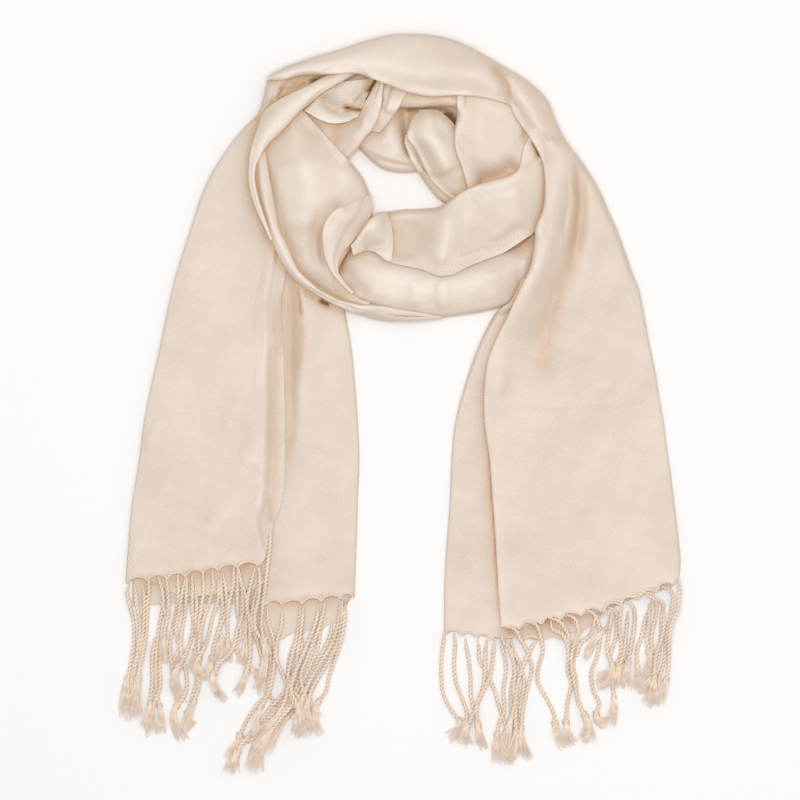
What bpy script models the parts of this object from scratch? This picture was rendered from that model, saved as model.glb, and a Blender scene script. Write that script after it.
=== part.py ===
"""Pashmina shawl, wrapped once round an open loop and laid flat, in metres with +Z up.

One long rectangle of twill makes the whole shawl.  Each stretch that shows is a sheet
of its own: it is lofted through sections, folded over at its edges, and laid on the
height of what is already below it.  The fringe is a plain slab of its reach.
"""
from collections import namedtuple

import bmesh
import bpy
import numpy as np

MM = 0.001

# driving sizes, in metres
CLOTH = 0.0011              # wall of the twill, with its felted nap
SEAM = 0.0003               # clearance where one piece meets the next
CORD = 0.0047               # thickness of the twisted fringe
HEM_GAP = 0.0006            # from a hem down to its fringe
FRINGE_COLUMNS = 5
FOLD_ROUND = 0.8            # width of a folded edge against its half height
FOLD_LEAST = 0.0009         # tightest folded edge
FOLD_SHARE = 0.30           # most of a section's width that one folded edge takes
PLY_LEAST = 0.0021          # least rise from one ply to the next
PLY_FADE = 0.06             # share of the width in which a ply settles past a hidden edge
FOLD_STEPS = 3              # facets round a folded edge
SETTLE_ROUNDS = 24          # most times that a sheet is lifted clear of the pile
SETTLE_REACH = 0.004        # how far round a touching point it is lifted at first
SETTLE_WIDER = 0.001        # and how much farther at each round
SETTLE_MORE = 0.0002        # how far past clear it is lifted, more at each round

# the surface under the shawl, as a grid of heights
CELL = 0.002
FIELD_X = (-0.264, 0.264)
FIELD_Y = (-0.344, 0.344)
REACH_LOW = 0.005           # the lowest ply clears what is within this distance
REACH_TOP = 0.011           # the top ply clears what is within this distance
BLUR_LOW = 0.002
BLUR_TOP = 0.006

COLOUR = (0.80, 0.67, 0.53, 1.0)
FRINGE_COLOUR = (0.74, 0.60, 0.45, 1.0)
ROUGHNESS = 0.85

Section = namedtuple("Section", "edge_in edge_out tops via", defaults=((),))
Run = namedtuple("Run", "start end level columns")
Crease = namedtuple("Crease", "path depth half_width")


# --------------------------------------------------------------------------- sections
# Every row is one section across a stretch, in millimetres: the edge it starts from,
# the edge it ends at, and the height of its top ply at even steps between the two.
# A hem also has the points that it passes through on its way.  A fringe has no heights.

LEFT_TAIL_BACK = [
    Section((-117.5, 251.5), (-59.5, 251.5), (7, 8, 8, 8, 6)),
    Section((-151.5, 212.5), (-52.5, 198), (3, 5, 7, 9, 6)),
    Section((-177.5, 153), (-49.5, 138.5), (1, 2, 4, 9, 7)),
    Section((-187, 124), (-48.5, 109), (1, 1, 3, 9, 7)),
    Section((-195.5, 92), (-47, 81.5), (1, 1, 2, 8, 6)),
    Section((-202.5, 58), (-42.5, 58), (1, 1, 2, 7, 6)),
    Section((-210, 24), (-39, 25.5), (1, 1, 2, 5, 5)),
    Section((-217, -10), (-36.5, -7), (1, 1, 2, 4.5, 4)),
    Section((-222, -47), (-35, -41), (1, 1, 2.5, 4, 4)),
    Section((-228, -85), (-36.5, -85), (1, 1, 3, 4, 4)),
    Section((-231, -120), (-37.5, -120), (1, 1, 3, 4, 4)),
    Section((-232, -166), (-39, -158), (1, 1, 3, 4, 4), ((-160, -163), (-95, -165))),
]

LEFT_TAIL_FRONT = [
    Section((-117.5, 251.5), (-85, 246.5), (11, 12, 12, 11, 10)),
    Section((-133.5, 236.5), (-85, 219.5), (9, 12, 12, 11, 10)),
    Section((-151.5, 212.5), (-86.5, 194), (8, 10, 11, 10, 9)),
    Section((-166.5, 185.5), (-90, 164), (7, 8, 9, 9, 8)),
    Section((-177.5, 153), (-94.5, 138.5), (6, 7, 8, 8, 6)),
    Section((-187, 124), (-97, 115.5), (6, 7, 8, 8, 5)),
    Section((-195.5, 92), (-101, 90), (6, 6.5, 7, 7, 4)),
    Section((-202.5, 58), (-99.5, 58), (6, 6.5, 7, 7, 3)),
    Section((-210, 24), (-98.5, 24), (6, 6, 6.5, 6.5, 3)),
    Section((-217, -10), (-98, -8.5), (5.5, 6, 6, 6, 3)),
    Section((-222, -47), (-98, -46), (5.5, 6, 6, 6, 3)),
    Section((-228, -85), (-100.5, -78), (5.5, 6, 6, 6, 3)),
    Section((-231, -120), (-104.5, -92.5), (5.5, 6, 6, 6, 4.5)),
    Section((-233, -145.5), (-109.5, -103), (5.5, 6, 6, 6.5, 6.5),
            ((-190, -141), (-145, -133.5), (-119, -130))),
]

NECK_BACK = [
    Section((-108, 279), (-104, 241), (10, 13, 12)),
    Section((-97, 284.5), (-93.5, 236.5), (12, 15, 13)),
    Section((-76.5, 293), (-64, 215), (14, 17, 13)),
    Section((-55, 299.5), (-46, 210), (15, 18, 12)),
    Section((-41, 304.5), (-36.5, 219.5), (15, 18, 12)),
    Section((-27, 308.5), (-24, 209), (15, 18, 12)),
    Section((-11, 312.5), (-13, 204), (15, 18, 12)),
    Section((5, 313.5), (1.5, 201.5), (15, 17, 11)),
    Section((18, 313.5), (17, 202.5), (15, 16, 10)),
    Section((32, 311), (26, 256), (15, 16, 13)),
    Section((46, 307.5), (46, 264), (15, 16, 13)),
]

NECK_RIM = [
    Section((2.5, 229.5), (8.5, 229.5), (17, 17)),
    Section((5, 217.5), (12, 217.5), (15, 15)),
    Section((12, 205.5), (18, 208), (13, 14)),
    Section((18, 199), (23.5, 202.5), (11, 12)),
    Section((23, 187), (30, 192), (10, 11)),
    Section((30.5, 178.5), (38, 183.5), (10, 11)),
    Section((37.5, 173), (45, 177), (10, 11)),
]

NECK_PUFF = [
    Section((15.5, 262), (44, 258.5), (17, 18, 17)),
    Section((7.5, 246.5), (49.5, 246.5), (17, 22, 18)),
    Section((4, 233), (51, 233), (18, 24, 18)),
    Section((7, 221), (54.5, 219.5), (17, 24, 18)),
    Section((14, 211), (58, 205.5), (16, 23, 17)),
    Section((21, 201), (61, 194), (14, 21, 16)),
    Section((29, 192), (63, 185.5), (13, 18, 15)),
    Section((38, 182), (61, 177), (12, 15, 14)),
]

LOOP_RIGHT = [
    Section((47.5, 268.5), (102, 265), (22, 23, 18)),
    Section((48, 253.5), (110.5, 246.5), (24, 24, 18)),
    Section((47, 238), (119, 228), (24, 24, 18)),
    Section((47.5, 223.5), (126, 211), (23, 23, 18)),
    Section((52, 211), (129, 194), (21, 20, 17)),
    Section((56, 199), (129, 177), (18, 15, 16)),
    Section((58.5, 187), (127.5, 164), (16, 13, 15)),
]

LOOP_FRONT_LOWER = [
    Section((-51, 119), (-50, 103.5), (8, 10, 8)),
    Section((-46, 128.5), (-41, 92.5), (11, 14, 10)),
    Section((-35.5, 132.5), (-32.5, 88.5), (15, 17, 11)),
    Section((-24, 135), (-21, 85), (16, 18, 12)),
    Section((-10, 127.5), (-8.5, 81), (16, 18, 12)),
    Section((4, 122.5), (7, 74), (15, 18, 12)),
    Section((18.5, 120), (20.5, 74.5), (14, 18, 12)),
    Section((34, 117.5), (35.5, 76.5), (12, 18, 12)),
    Section((47, 124), (49.5, 78.5), (12, 17, 12)),
    Section((64, 130), (66.5, 81.5), (12, 16, 12)),
    Section((81, 136), (81, 85), (12, 15, 12)),
    Section((95, 140), (92, 89), (12, 14, 11)),
    Section((106, 143), (102, 100.5), (11, 13, 10)),
    Section((115, 144.5), (110.5, 113), (10, 12, 9)),
]

LOOP_FRONT_UPPER = [
    Section((-13.5, 166.5), (-13.5, 129), (13, 14, 14)),
    Section((0, 168.5), (0, 126), (13, 14, 14)),
    Section((17, 169), (17, 123), (13, 13, 14)),
    Section((32.5, 171), (32.5, 120), (15, 16, 15)),
    Section((40, 174), (42.5, 119), (19, 18, 16)),
    Section((51, 182), (56, 120), (23, 20, 17)),
    Section((66.5, 189.5), (73, 125), (25, 21, 18)),
    Section((82.5, 194), (92, 131), (25, 22, 18)),
    Section((95, 198), (104.5, 140), (25, 22, 18)),
    Section((102, 205), (115, 151.5), (24, 22, 18)),
    Section((105.5, 217.5), (124, 172.5), (23, 21, 18)),
    Section((109, 228), (126, 189.5), (22, 20, 18)),
]

LOOP_LEFT = [
    Section((-98, 255), (-80, 251.5), (17, 18, 17)),
    Section((-109, 240.5), (-71.5, 235.5), (16, 19, 17)),
    Section((-117.5, 226), (-59.5, 222), (15, 20, 17)),
    Section((-117.5, 211), (-47, 210), (15, 21, 17)),
    Section((-115.5, 194), (-34, 195.5), (15, 21, 16)),
    Section((-112, 177), (-26.5, 178.5), (15, 20, 15)),
    Section((-107, 158), (-24, 165), (14, 19, 15)),
    Section((-98.5, 137.5), (-30.5, 152), (13, 18, 16)),
    Section((-92, 127.5), (-41, 137.5), (13, 17, 16)),
    Section((-85, 117.5), (-50, 124), (13, 16, 15)),
    Section((-75, 106), (-52.5, 113), (12, 15, 14)),
    Section((-64, 98.5), (-50, 103.5), (12, 13, 12)),
]

LOOP_TUCK = [
    Section((-37.5, 177), (-26.5, 177), (22, 21)),
    Section((-48.5, 171), (-26, 167), (23, 20)),
    Section((-59.5, 161.5), (-28, 157.5), (23, 20)),
    Section((-65.5, 150.5), (-36, 144.5), (22, 19)),
    Section((-67, 139.5), (-44.5, 134), (21, 19)),
    Section((-65.5, 128.5), (-50.5, 124.5), (20, 18)),
    Section((-62, 119), (-53, 116.5), (18, 17)),
    Section((-56, 109), (-50, 107), (17, 16)),
]

LOOP_TWIST = [
    Section((-41.5, 138), (-40, 133.5), (21, 21)),
    Section((-36.5, 143.5), (-30, 133.5), (22, 22)),
    Section((-30, 153), (-18.5, 130), (23, 22)),
    Section((-24, 160.5), (-8.5, 127.5), (22, 21)),
    Section((-17, 166), (-7, 143), (20, 19)),
    Section((-12.5, 166.5), (-7.5, 155.5), (17, 17)),
]

LOOP_ROLL = [
    Section((-120.5, 219.5), (-110.5, 221), (20, 20)),
    Section((-122.5, 202.5), (-112, 204), (19, 19)),
    Section((-120.5, 185.5), (-109.5, 188), (19, 19)),
    Section((-115.5, 170), (-106, 173.5), (19, 19)),
    Section((-110.5, 158), (-102, 160.5), (19, 19)),
    Section((-104.5, 144.5), (-97, 149), (19, 19)),
    Section((-98, 127.5), (-90, 132.5), (18, 18)),
    Section((-92, 115), (-85, 121.5), (18, 18)),
    Section((-84, 103.5), (-78, 111.5), (17, 17)),
    Section((-72, 94.5), (-68, 103), (17, 17)),
    Section((-59.5, 87.5), (-55, 95), (16, 17)),
    Section((-44, 81.5), (-42.5, 91), (15, 17)),
    Section((-25.5, 77), (-24.5, 88.5), (14, 17)),
    Section((-8.5, 74), (-7, 85.5), (12, 16)),
    Section((1, 72), (2, 83), (11, 15)),
]

LOOP_CURL = [
    Section((-55, 274.5), (-16, 277), (24, 23, 22)),
    Section((-64, 269.5), (-24, 270.5), (25, 24, 22)),
    Section((-71.5, 263.5), (-30, 263.5), (25, 23, 21)),
    Section((-78, 256.5), (-32.5, 256.5), (25, 21, 20)),
    Section((-81.5, 252.5), (-36.5, 245.5), (24, 25, 23),
            ((-69.5, 245.5), (-59.5, 242), (-47, 240.5))),
]

NECK_STRIP_LEFT = [
    Section((-18, 276), (-13, 273.5), (26, 26)),
    Section((-24, 268), (-15.5, 264.5), (27, 27)),
    Section((-30.5, 257.5), (-18.5, 255), (27, 27)),
    Section((-36.5, 246.5), (-23, 244), (26, 26)),
    Section((-42.5, 236.5), (-27, 234), (22, 23)),
    Section((-46, 223.5), (-34, 225), (18, 19)),
    Section((-46, 213.5), (-41.5, 215), (15, 16)),
]

NECK_STRIP_MID = [
    Section((-12.5, 274.5), (7.5, 268), (27, 26, 25)),
    Section((-14.7, 264.5), (1.5, 258.5), (27, 26, 25)),
    Section((-17.7, 253.5), (-4, 250), (26, 26, 25)),
    Section((-22.2, 244), (-9.5, 241.5), (25, 25, 24)),
    Section((-26, 235.5), (-16, 234.5), (23, 23, 23)),
]

NECK_EDGE = [
    Section((9, 268), (6, 256.5), (24, 23)),
    Section((20, 268), (20, 256.5), (25, 24)),
    Section((34, 268), (34, 256.5), (25, 24)),
    Section((46.5, 268), (46.5, 256.5), (25, 24)),
]

CORNER_FOLDS = [
    Section((-112, 279.5), (-85, 279), (15, 18, 18, 19, 20)),
    Section((-113, 270.5), (-88.5, 268.5), (15, 18, 18, 19, 20)),
    Section((-115, 260), (-98, 260), (15, 17, 17, 18, 18)),
    Section((-116.5, 251), (-106, 255), (15, 16, 16, 17, 17)),
    Section((-120.5, 245), (-112, 248), (14, 15, 15, 15, 15)),
]

LOOP_EDGE = [
    Section((-41, 284), (-41, 279), (29, 29)),
    Section((-59.5, 283), (-57, 274.5), (29, 29)),
    Section((-78, 274.5), (-68, 268.5), (29, 30)),
    Section((-95, 264.5), (-76.5, 259), (27, 29)),
    Section((-110.5, 256), (-85, 247.5), (25, 27)),
    Section((-117.5, 246.5), (-92.5, 238), (24, 26)),
    Section((-122.5, 236.5), (-103.5, 229.5), (23, 25)),
    Section((-126, 225), (-113, 220), (22, 25)),
    Section((-127.5, 211), (-119, 210), (21, 23)),
    Section((-128, 195.5), (-121, 196.5), (19, 21)),
    Section((-126, 183), (-119.5, 185), (18, 20)),
    Section((-120.5, 170), (-115, 172.5), (17, 19)),
    Section((-114, 158), (-109, 161), (16, 18)),
]

RIGHT_TAIL_SIDE = [
    Section((104, 110), (201, 105), (14, 10, 4)),
    Section((95, 92), (204, 92), (13, 9, 4)),
    Section((82.5, 81.5), (206.5, 70.5), (11, 7, 3)),
    Section((69.5, 58), (212.5, 45), (9, 6, 3)),
    Section((54.5, 16), (218.5, 13.5), (7, 4, 3)),
    Section((47, -14.5), (222.5, -17), (5, 3, 3)),
    Section((44, -48.5), (227, -49.5), (4, 3, 3)),
    Section((42.5, -82.5), (230.5, -83.5), (4, 3, 3)),
    Section((40, -116.5), (234, -116.5), (4, 3, 3)),
    Section((38, -154.5), (234.5, -143), (4, 3, 3)),
    Section((38, -189), (231, -160), (4, 3, 3), ((85, -196), (136, -195), (187, -181))),
]

TOP_BAND = [
    Section((-110.5, 277), (-111.5, 284), (20, 21, 19)),
    Section((-98.5, 278.5), (-100.5, 289), (25, 26, 21)),
    Section((-85, 282), (-87.5, 293), (28, 27, 22)),
    Section((-68, 282.5), (-73, 297.5), (30, 30, 23)),
    Section((-51, 283), (-56, 302), (31, 31, 24)),
    Section((-36.5, 283.5), (-40, 307.5), (32, 33, 25)),
    Section((-24, 279), (-27, 311.5), (33, 34, 25)),
    Section((-8.5, 273), (-10, 316), (33, 35, 25)),
    Section((8.5, 267), (8.5, 317), (32, 35, 25)),
    Section((25.5, 264), (27, 316), (31, 35, 25)),
    Section((47, 265), (47.5, 311), (30, 34, 25)),
    Section((68, 263.5), (68, 301.5), (29, 33, 24)),
    Section((85, 259.5), (90, 289), (28, 31, 23)),
    Section((93.5, 256), (109, 277), (27, 30, 23)),
    Section((96, 250), (124, 262.5), (26, 30, 22)),
]

RIGHT_SHOULDER = [
    Section((102, 240.5), (132.5, 243), (26, 29, 21)),
    Section((111.5, 227), (142, 225), (26, 28, 20)),
    Section((120, 211), (153, 211), (26, 27, 19)),
    Section((123, 185.5), (169, 185.5), (26, 24, 17)),
    Section((121.5, 168.5), (177.5, 166), (26, 22, 15)),
    Section((115.5, 153), (185.5, 148), (25, 20, 13)),
    Section((114, 138.5), (190.5, 134.5), (24, 18, 12)),
    Section((110.5, 119), (197, 115.5), (22, 16, 11)),
    Section((102, 100.5), (202.5, 100.5), (20, 14, 10)),
    Section((92.5, 80), (206.5, 82.5), (17, 12, 9)),
]

RIGHT_TAIL_FRONT = [
    Section((83.5, 62), (211, 58), (14, 10, 8)),
    Section((75.5, 42.5), (216, 34), (12, 9, 8)),
    Section((72, 19.5), (220, 10), (10, 8, 7)),
    Section((72, -10), (224.5, -17), (8, 7.5, 7)),
    Section((76.5, -44), (228.5, -47.5), (7, 7, 7)),
    Section((79, -78), (233, -81.5), (7, 7, 7)),
    Section((81.5, -112), (236.5, -112), (7, 7, 7)),
    Section((83.5, -150.5), (238, -129), (7, 7, 7)),
    Section((86, -187), (237, -143.5), (7, 7, 7),
            ((131, -176.5), (173.5, -168), (205, -157))),
]

LEFT_FRONT_FRINGE = [
    Section((-234, -180), (-120, -176), ()),
    Section((-236, -214), (-121, -212), ()),
    Section((-239, -248), (-126, -247), ()),
    Section((-239, -269.5), (-143, -276), ()),
    Section((-221, -280.5), (-160, -288), ()),
]

LEFT_BACK_FRINGE = [
    Section((-118, -205.5), (-47.5, -197), ()),
    Section((-123, -248), (-52.5, -239.5), ()),
    Section((-139, -277), (-63, -265), ()),
    Section((-151.5, -303), (-66, -280.5), ()),
    Section((-151.5, -316), (-117.5, -314), ()),
]

RIGHT_SIDE_FRINGE = [
    Section((34, -222.5), (85, -224), ()),
    Section((36.5, -248), (88, -249), ()),
    Section((39, -280.5), (109, -276), ()),
    Section((59.5, -293), (112, -294), ()),
    Section((76.5, -305), (103.5, -307), ()),
]

RIGHT_FRONT_FRINGE = [
    Section((87.5, -218.5), (230, -197), ()),
    Section((91, -248), (227, -236), ()),
    Section((112, -265), (219, -252), ()),
    Section((133, -288), (183, -274), ()),
]

# The large folds that are pressed into a stretch: a ridge has a positive depth.
CREASES = {
    "left_tail_back": [Crease(((-94, 118), (-96, 60), (-98, 10)), -3.0, 9.0)],
    "neck_back": [Crease(((4, 262), (5, 235), (12, 212)), -6.0, 7.0)],
    "loop_right": [Crease(((60, 190), (85, 197), (103, 208)), -5.0, 8.0)],
    "loop_front_upper": [Crease(((32, 168), (37, 150), (34, 125)), 3.0, 9.0)],
    "loop_left": [Crease(((-42, 172), (-60, 158), (-66, 140), (-58, 112)), -4.0, 10.0)],
    "loop_curl": [Crease(((-62, 262), (-50, 255), (-34, 255)), -5.0, 7.0)],
    "top_band": [Crease(((84, 284), (90, 272), (94, 258)), -5.0, 8.0)],
    "right_shoulder": [Crease(((143, 218), (150, 185), (144, 142), (130, 105)), -5.0, 10.0)],
}


def edge_and_back(under_in, under_out, across, under):
    """A stretch folded under along both edges."""
    return [
        Run(under_in, 0.0, 0.0, under),
        Run(0.0, 1.0, 1.0, across),
        Run(1.0, 1.0 - under_out, 0.0, under),
    ]


FRONT_FOLD_AT = 0.85        # where the hidden plies of the left tail end, across it
RETURN_AT = 0.52            # how far the ply under the left tail's back reaches
SELVEDGE_AT = 0.04          # how near a hidden ply comes to the opposite edge

PLIES = {
    "left_tail_back": [Run(0.02, 1.0, 1.0, 7), Run(1.0, RETURN_AT, 0.0, 3)],
    "left_tail_front": [Run(1.0, 0.0, 1.0, 6), Run(0.0, FRONT_FOLD_AT, 0.5, 2),
                        Run(FRONT_FOLD_AT, SELVEDGE_AT, 0.0, 2)],
    "neck_back": edge_and_back(0.46, 0.46, 4, 2),
    "neck_rim": [Run(0.0, 1.0, 1.0, 2)],
    "neck_puff": [Run(0.55, 0.0, 0.0, 2), Run(0.0, 1.0, 1.0, 5)],
    "loop_right": [Run(0.30, 0.0, 0.0, 1), Run(0.0, 1.0, 1.0, 5)],
    "loop_front_lower": edge_and_back(0.40, 0.52, 4, 1),
    "loop_front_upper": edge_and_back(0.50, 0.25, 4, 2),
    "loop_left": [Run(0.0, 1.0, 1.0, 5), Run(1.0, SELVEDGE_AT, 0.0, 4)],
    "loop_tuck": [Run(0.55, 0.0, 0.0, 1), Run(0.0, 1.0, 1.0, 2)],
    "loop_twist": edge_and_back(0.30, 0.55, 2, 1),
    "loop_roll": edge_and_back(0.40, 0.45, 1, 1),
    "loop_edge": edge_and_back(0.42, 0.45, 2, 1),
    "loop_curl": edge_and_back(0.12, 0.80, 5, 2),
    "neck_strip_left": edge_and_back(0.40, 0.45, 1, 1),
    "neck_strip_mid": edge_and_back(0.40, 0.45, 2, 1),
    "neck_edge": [Run(0.0, 1.0, 1.0, 1), Run(1.0, 0.30, 0.0, 1)],
    "corner_folds": [Run(0.50, 0.0, 0.0, 1), Run(0.0, 1.0, 1.0, 4)],
    "right_tail_side": [Run(1.0, 0.0, 1.0, 5), Run(0.0, 0.92, 0.0, 3)],
    "crossing": edge_and_back(0.30, 0.66, 4, 2),
}


# ------------------------------------------------------------------------- the surface
def disc(radius):
    """Cell offsets inside a radius."""
    cells = int(np.ceil(radius / CELL))
    steps = range(-cells, cells + 1)
    return [(i, j) for i in steps for j in steps if np.hypot(i, j) * CELL <= radius]


def shifted(field, i, j):
    """The field moved by whole cells, its border repeated."""
    rows = np.clip(np.arange(field.shape[0]) + i, 0, field.shape[0] - 1)
    columns = np.clip(np.arange(field.shape[1]) + j, 0, field.shape[1] - 1)
    return field[rows][:, columns]


class Bed:
    """What a sheet is laid on: heights that clear the pile, low ply and top ply."""

    def __init__(self, heights):
        raised = np.where(heights > 0.0, heights + SEAM, 0.0)
        self.low = self.spread(raised, REACH_LOW, BLUR_LOW)
        self.top = self.spread(raised, REACH_TOP, BLUR_TOP)

    def lift(self, needed, reach):
        """Raise the bed round the cells where a sheet would touch the pile."""
        self.low = np.maximum(self.low, self.spread(needed, reach, BLUR_LOW))
        self.top = np.maximum(self.top, self.spread(needed, reach + REACH_TOP - REACH_LOW, BLUR_LOW))

    @staticmethod
    def spread(field, reach, blur):
        widest = np.max([shifted(field, i, j) for i, j in disc(reach)], axis=0)
        return np.mean([shifted(widest, i, j) for i, j in disc(blur)], axis=0)

    @staticmethod
    def sample(field, x, y):
        u = (np.asarray(x) - FIELD_X[0]) / CELL
        v = (np.asarray(y) - FIELD_Y[0]) / CELL
        i = np.clip(u.astype(int), 0, field.shape[0] - 2)
        j = np.clip(v.astype(int), 0, field.shape[1] - 2)
        a, b = u - i, v - j
        near = field[i, j] * (1 - a) + field[i + 1, j] * a
        far = field[i, j + 1] * (1 - a) + field[i + 1, j + 1] * a
        return near * (1 - b) + far * b

    def lowest(self, x, y):
        return self.sample(self.low, x, y)

    def highest(self, x, y):
        return self.sample(self.top, x, y)


class Pile:
    """The height of everything laid so far."""

    def __init__(self):
        columns = int(round((FIELD_X[1] - FIELD_X[0]) / CELL)) + 1
        rows = int(round((FIELD_Y[1] - FIELD_Y[0]) / CELL)) + 1
        self.heights = np.zeros((columns, rows))

    def bed(self):
        return Bed(self.heights)

    def add(self, grid, wall):
        """Raise the pile to the upper side of a sheet given by its middle surface."""
        for i, j, z in covered(grid, wall):
            np.maximum.at(self.heights, (i, j), z)

    def touched(self, grid, wall):
        """The height that clears the pile in each cell where a sheet doesn't, else 0."""
        near = np.max([shifted(self.heights, i, j) for i, j in disc(CELL)], axis=0)
        clear = np.where(near > 0.0, near + SEAM, -1.0)
        needed = np.zeros_like(near)
        for i, j, z in covered(grid, wall):
            np.maximum.at(needed, (i, j), np.where(z < clear[i, j], clear[i, j], 0.0))
        return needed


def headings(grid, axis):
    """Mean direction at each point of a grid, from the steps to its neighbours."""
    step = np.diff(grid, axis=axis)
    step /= np.maximum(np.linalg.norm(step, axis=-1, keepdims=True), 1e-12)
    first, last = (np.take(step, [end], axis=axis) for end in (0, -1))
    both = np.concatenate([first, step, last], axis=axis)
    count = both.shape[axis]
    return (np.take(both, range(1, count), axis=axis)
            + np.take(both, range(count - 1), axis=axis))


def sides(grid, wall):
    """The two faces of a sheet, half its wall to either side of its middle surface."""
    normal = np.cross(headings(grid, 0), headings(grid, 1))
    normal /= np.maximum(np.linalg.norm(normal, axis=-1, keepdims=True), 1e-12)
    return grid + normal * wall / 2, grid - normal * wall / 2


def covered(grid, wall):
    """The cells under both sides of a sheet, with their heights, a batch at a time."""
    longest = [np.linalg.norm(np.diff(grid, axis=axis), axis=-1).max() for axis in (0, 1)]
    down, over = (np.linspace(0.0, 1.0, int(length / CELL) + 2) for length in longest)
    for side in sides(grid, wall):
        near, far = side[:-1, :-1], side[1:, 1:]
        for a in down:
            for b in over:
                corner = side[1:, :-1] if a > b else side[:-1, 1:]
                spot = near + (corner - near) * max(a, b) + (far - corner) * min(a, b)
                spot = spot.reshape(-1, 3)
                i = np.round((spot[:, 0] - FIELD_X[0]) / CELL).astype(int)
                j = np.round((spot[:, 1] - FIELD_Y[0]) / CELL).astype(int)
                yield i, j, spot[:, 2]


# -------------------------------------------------------------------------- the sheets
def through(values, at):
    """A smooth line through evenly spaced values, read at places from 0 to 1."""
    values = np.asarray(values, float)
    knots = np.linspace(0.0, 1.0, len(values))
    slopes = np.gradient(values, knots)
    at = np.clip(at, 0.0, 1.0)
    k = np.clip(np.searchsorted(knots, at, side="right") - 1, 0, len(knots) - 2)
    width = knots[k + 1] - knots[k]
    s = (at - knots[k]) / width
    return (values[k] * (2 * s**3 - 3 * s**2 + 1) + slopes[k] * width * (s**3 - 2 * s**2 + s)
            + values[k + 1] * (3 * s**2 - 2 * s**3) + slopes[k + 1] * width * (s**3 - s**2))


def place(section, at):
    """Points on a section's line, by the share of its length."""
    line = np.array([section.edge_in, *section.via, section.edge_out]) * MM
    run = np.concatenate([[0.0], np.cumsum(np.hypot(*np.diff(line, axis=0).T))])
    run /= run[-1]
    return np.interp(at, run, line[:, 0]), np.interp(at, run, line[:, 1])


def pressed(creases, x, y):
    """How far the creases lift or sink a point."""
    lift = np.zeros_like(x)
    for crease in creases:
        path = np.array(crease.path) * MM
        nearest = np.full_like(x, np.inf)
        for start, end in zip(path[:-1], path[1:]):
            edge = end - start
            s = ((x - start[0]) * edge[0] + (y - start[1]) * edge[1]) / (edge @ edge)
            s = np.clip(s, 0.0, 1.0)
            away = np.hypot(x - start[0] - s * edge[0], y - start[1] - s * edge[1])
            nearest = np.minimum(nearest, away)
        lift += crease.depth * MM * np.exp(-(nearest / (crease.half_width * MM)) ** 2)
    return lift


def plies_below(runs, at):
    """How many plies lie under the top one, falling softly to none past their ends."""
    count = np.zeros_like(at)
    for run in runs:
        if run.level < 1.0:
            first, last = sorted((run.start, run.end))
            past = np.maximum(first - at, at - last) / PLY_FADE
            s = np.clip(1.0 - past, 0.0, 1.0)
            count += s * s * (3 - 2 * s)
    return count


def height(section, bed, creases, at, level, runs):
    """Middle height of the ply at a level, 0 for the lowest one and 1 for the top."""
    x, y = place(section, at)
    low = bed.lowest(x, y) + CLOTH / 2
    above = PLY_LEAST * plies_below(runs, at)
    least = np.maximum(bed.highest(x, y) + CLOTH / 2 + np.minimum(above, PLY_LEAST), low + above)
    crown = through(section.tops, at) * MM - CLOTH / 2 + pressed(creases, x, y)
    return low + (np.maximum(crown, least) - low) * level


def across(section, bed, creases, runs):
    """The folded line of one section, from its first edge to its last, as points."""
    line = np.array([section.edge_in, *section.via, section.edge_out]) * MM
    width = np.hypot(*np.diff(line, axis=0).T).sum()
    stations, heights = [], []
    for run, after in zip(runs, [*runs[1:], None]):
        forward = 1.0 if run.end > run.start else -1.0
        start = stations[-1] if stations else run.start
        end = run.end
        if after is not None:
            levels = np.array([run.level, after.level])
            z = height(section, bed, creases, np.array([end, end]), levels, runs)
            turn = np.clip(abs(z[0] - z[1]) / 2 * FOLD_ROUND, FOLD_LEAST, FOLD_SHARE * width) / width
            end -= forward * turn
        at = np.linspace(start, end, run.columns + 1)
        at = at[1:] if stations else at
        stations += list(at)
        heights += list(height(section, bed, creases, at, run.level, runs))
        if after is not None:
            z = height(section, bed, creases, np.array([end, end]), levels, runs)
            for angle in np.linspace(0.0, np.pi, FOLD_STEPS + 1)[1:]:
                stations.append(end + forward * turn * np.sin(angle))
                heights.append((z[0] + z[1]) / 2 + (z[0] - z[1]) / 2 * np.cos(angle))
    x, y = place(section, np.clip(stations, 0.0, 1.0))
    return np.stack([x, y, np.array(heights)], axis=-1)


def mesh_object(name, grid, wall, colour):
    """A solid sheet: two sides in triangles, closed by a rim."""
    rows, columns = grid.shape[:2]
    builder = bmesh.new()
    upper, lower = ([[builder.verts.new(point) for point in row] for row in side]
                    for side in sides(grid, wall))
    for i in range(rows - 1):
        for j in range(columns - 1):
            for side in (upper, lower):
                near, far = side[i][j], side[i + 1][j + 1]
                builder.faces.new((near, side[i + 1][j], far))
                builder.faces.new((near, far, side[i][j + 1]))
    rim = [(0, j) for j in range(columns)]
    rim += [(i, columns - 1) for i in range(1, rows)]
    rim += [(rows - 1, j) for j in range(columns - 2, -1, -1)]
    rim += [(i, 0) for i in range(rows - 2, 0, -1)]
    for (i, j), (k, m) in zip(rim, rim[1:] + rim[:1]):
        builder.faces.new((upper[i][j], upper[k][m], lower[k][m], lower[i][j]))
    bmesh.ops.recalc_face_normals(builder, faces=builder.faces)
    mesh = bpy.data.meshes.new(name)
    builder.to_mesh(mesh)
    builder.free()
    mesh.materials.append(twill(name, colour))
    bpy.context.collection.objects.link(bpy.data.objects.new(name, mesh))


def twill(name, colour):
    """The plain colour of one piece of cloth."""
    material = bpy.data.materials.new(name + "_cloth")
    material.use_nodes = True
    shader = material.node_tree.nodes["Principled BSDF"]
    shader.inputs["Base Color"].default_value = colour
    shader.inputs["Roughness"].default_value = ROUGHNESS
    shader.inputs["Metallic"].default_value = 0.0
    return material


def loft(sections, bed, creases, runs):
    return np.array([across(section, bed, creases, runs) for section in sections])


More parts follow.
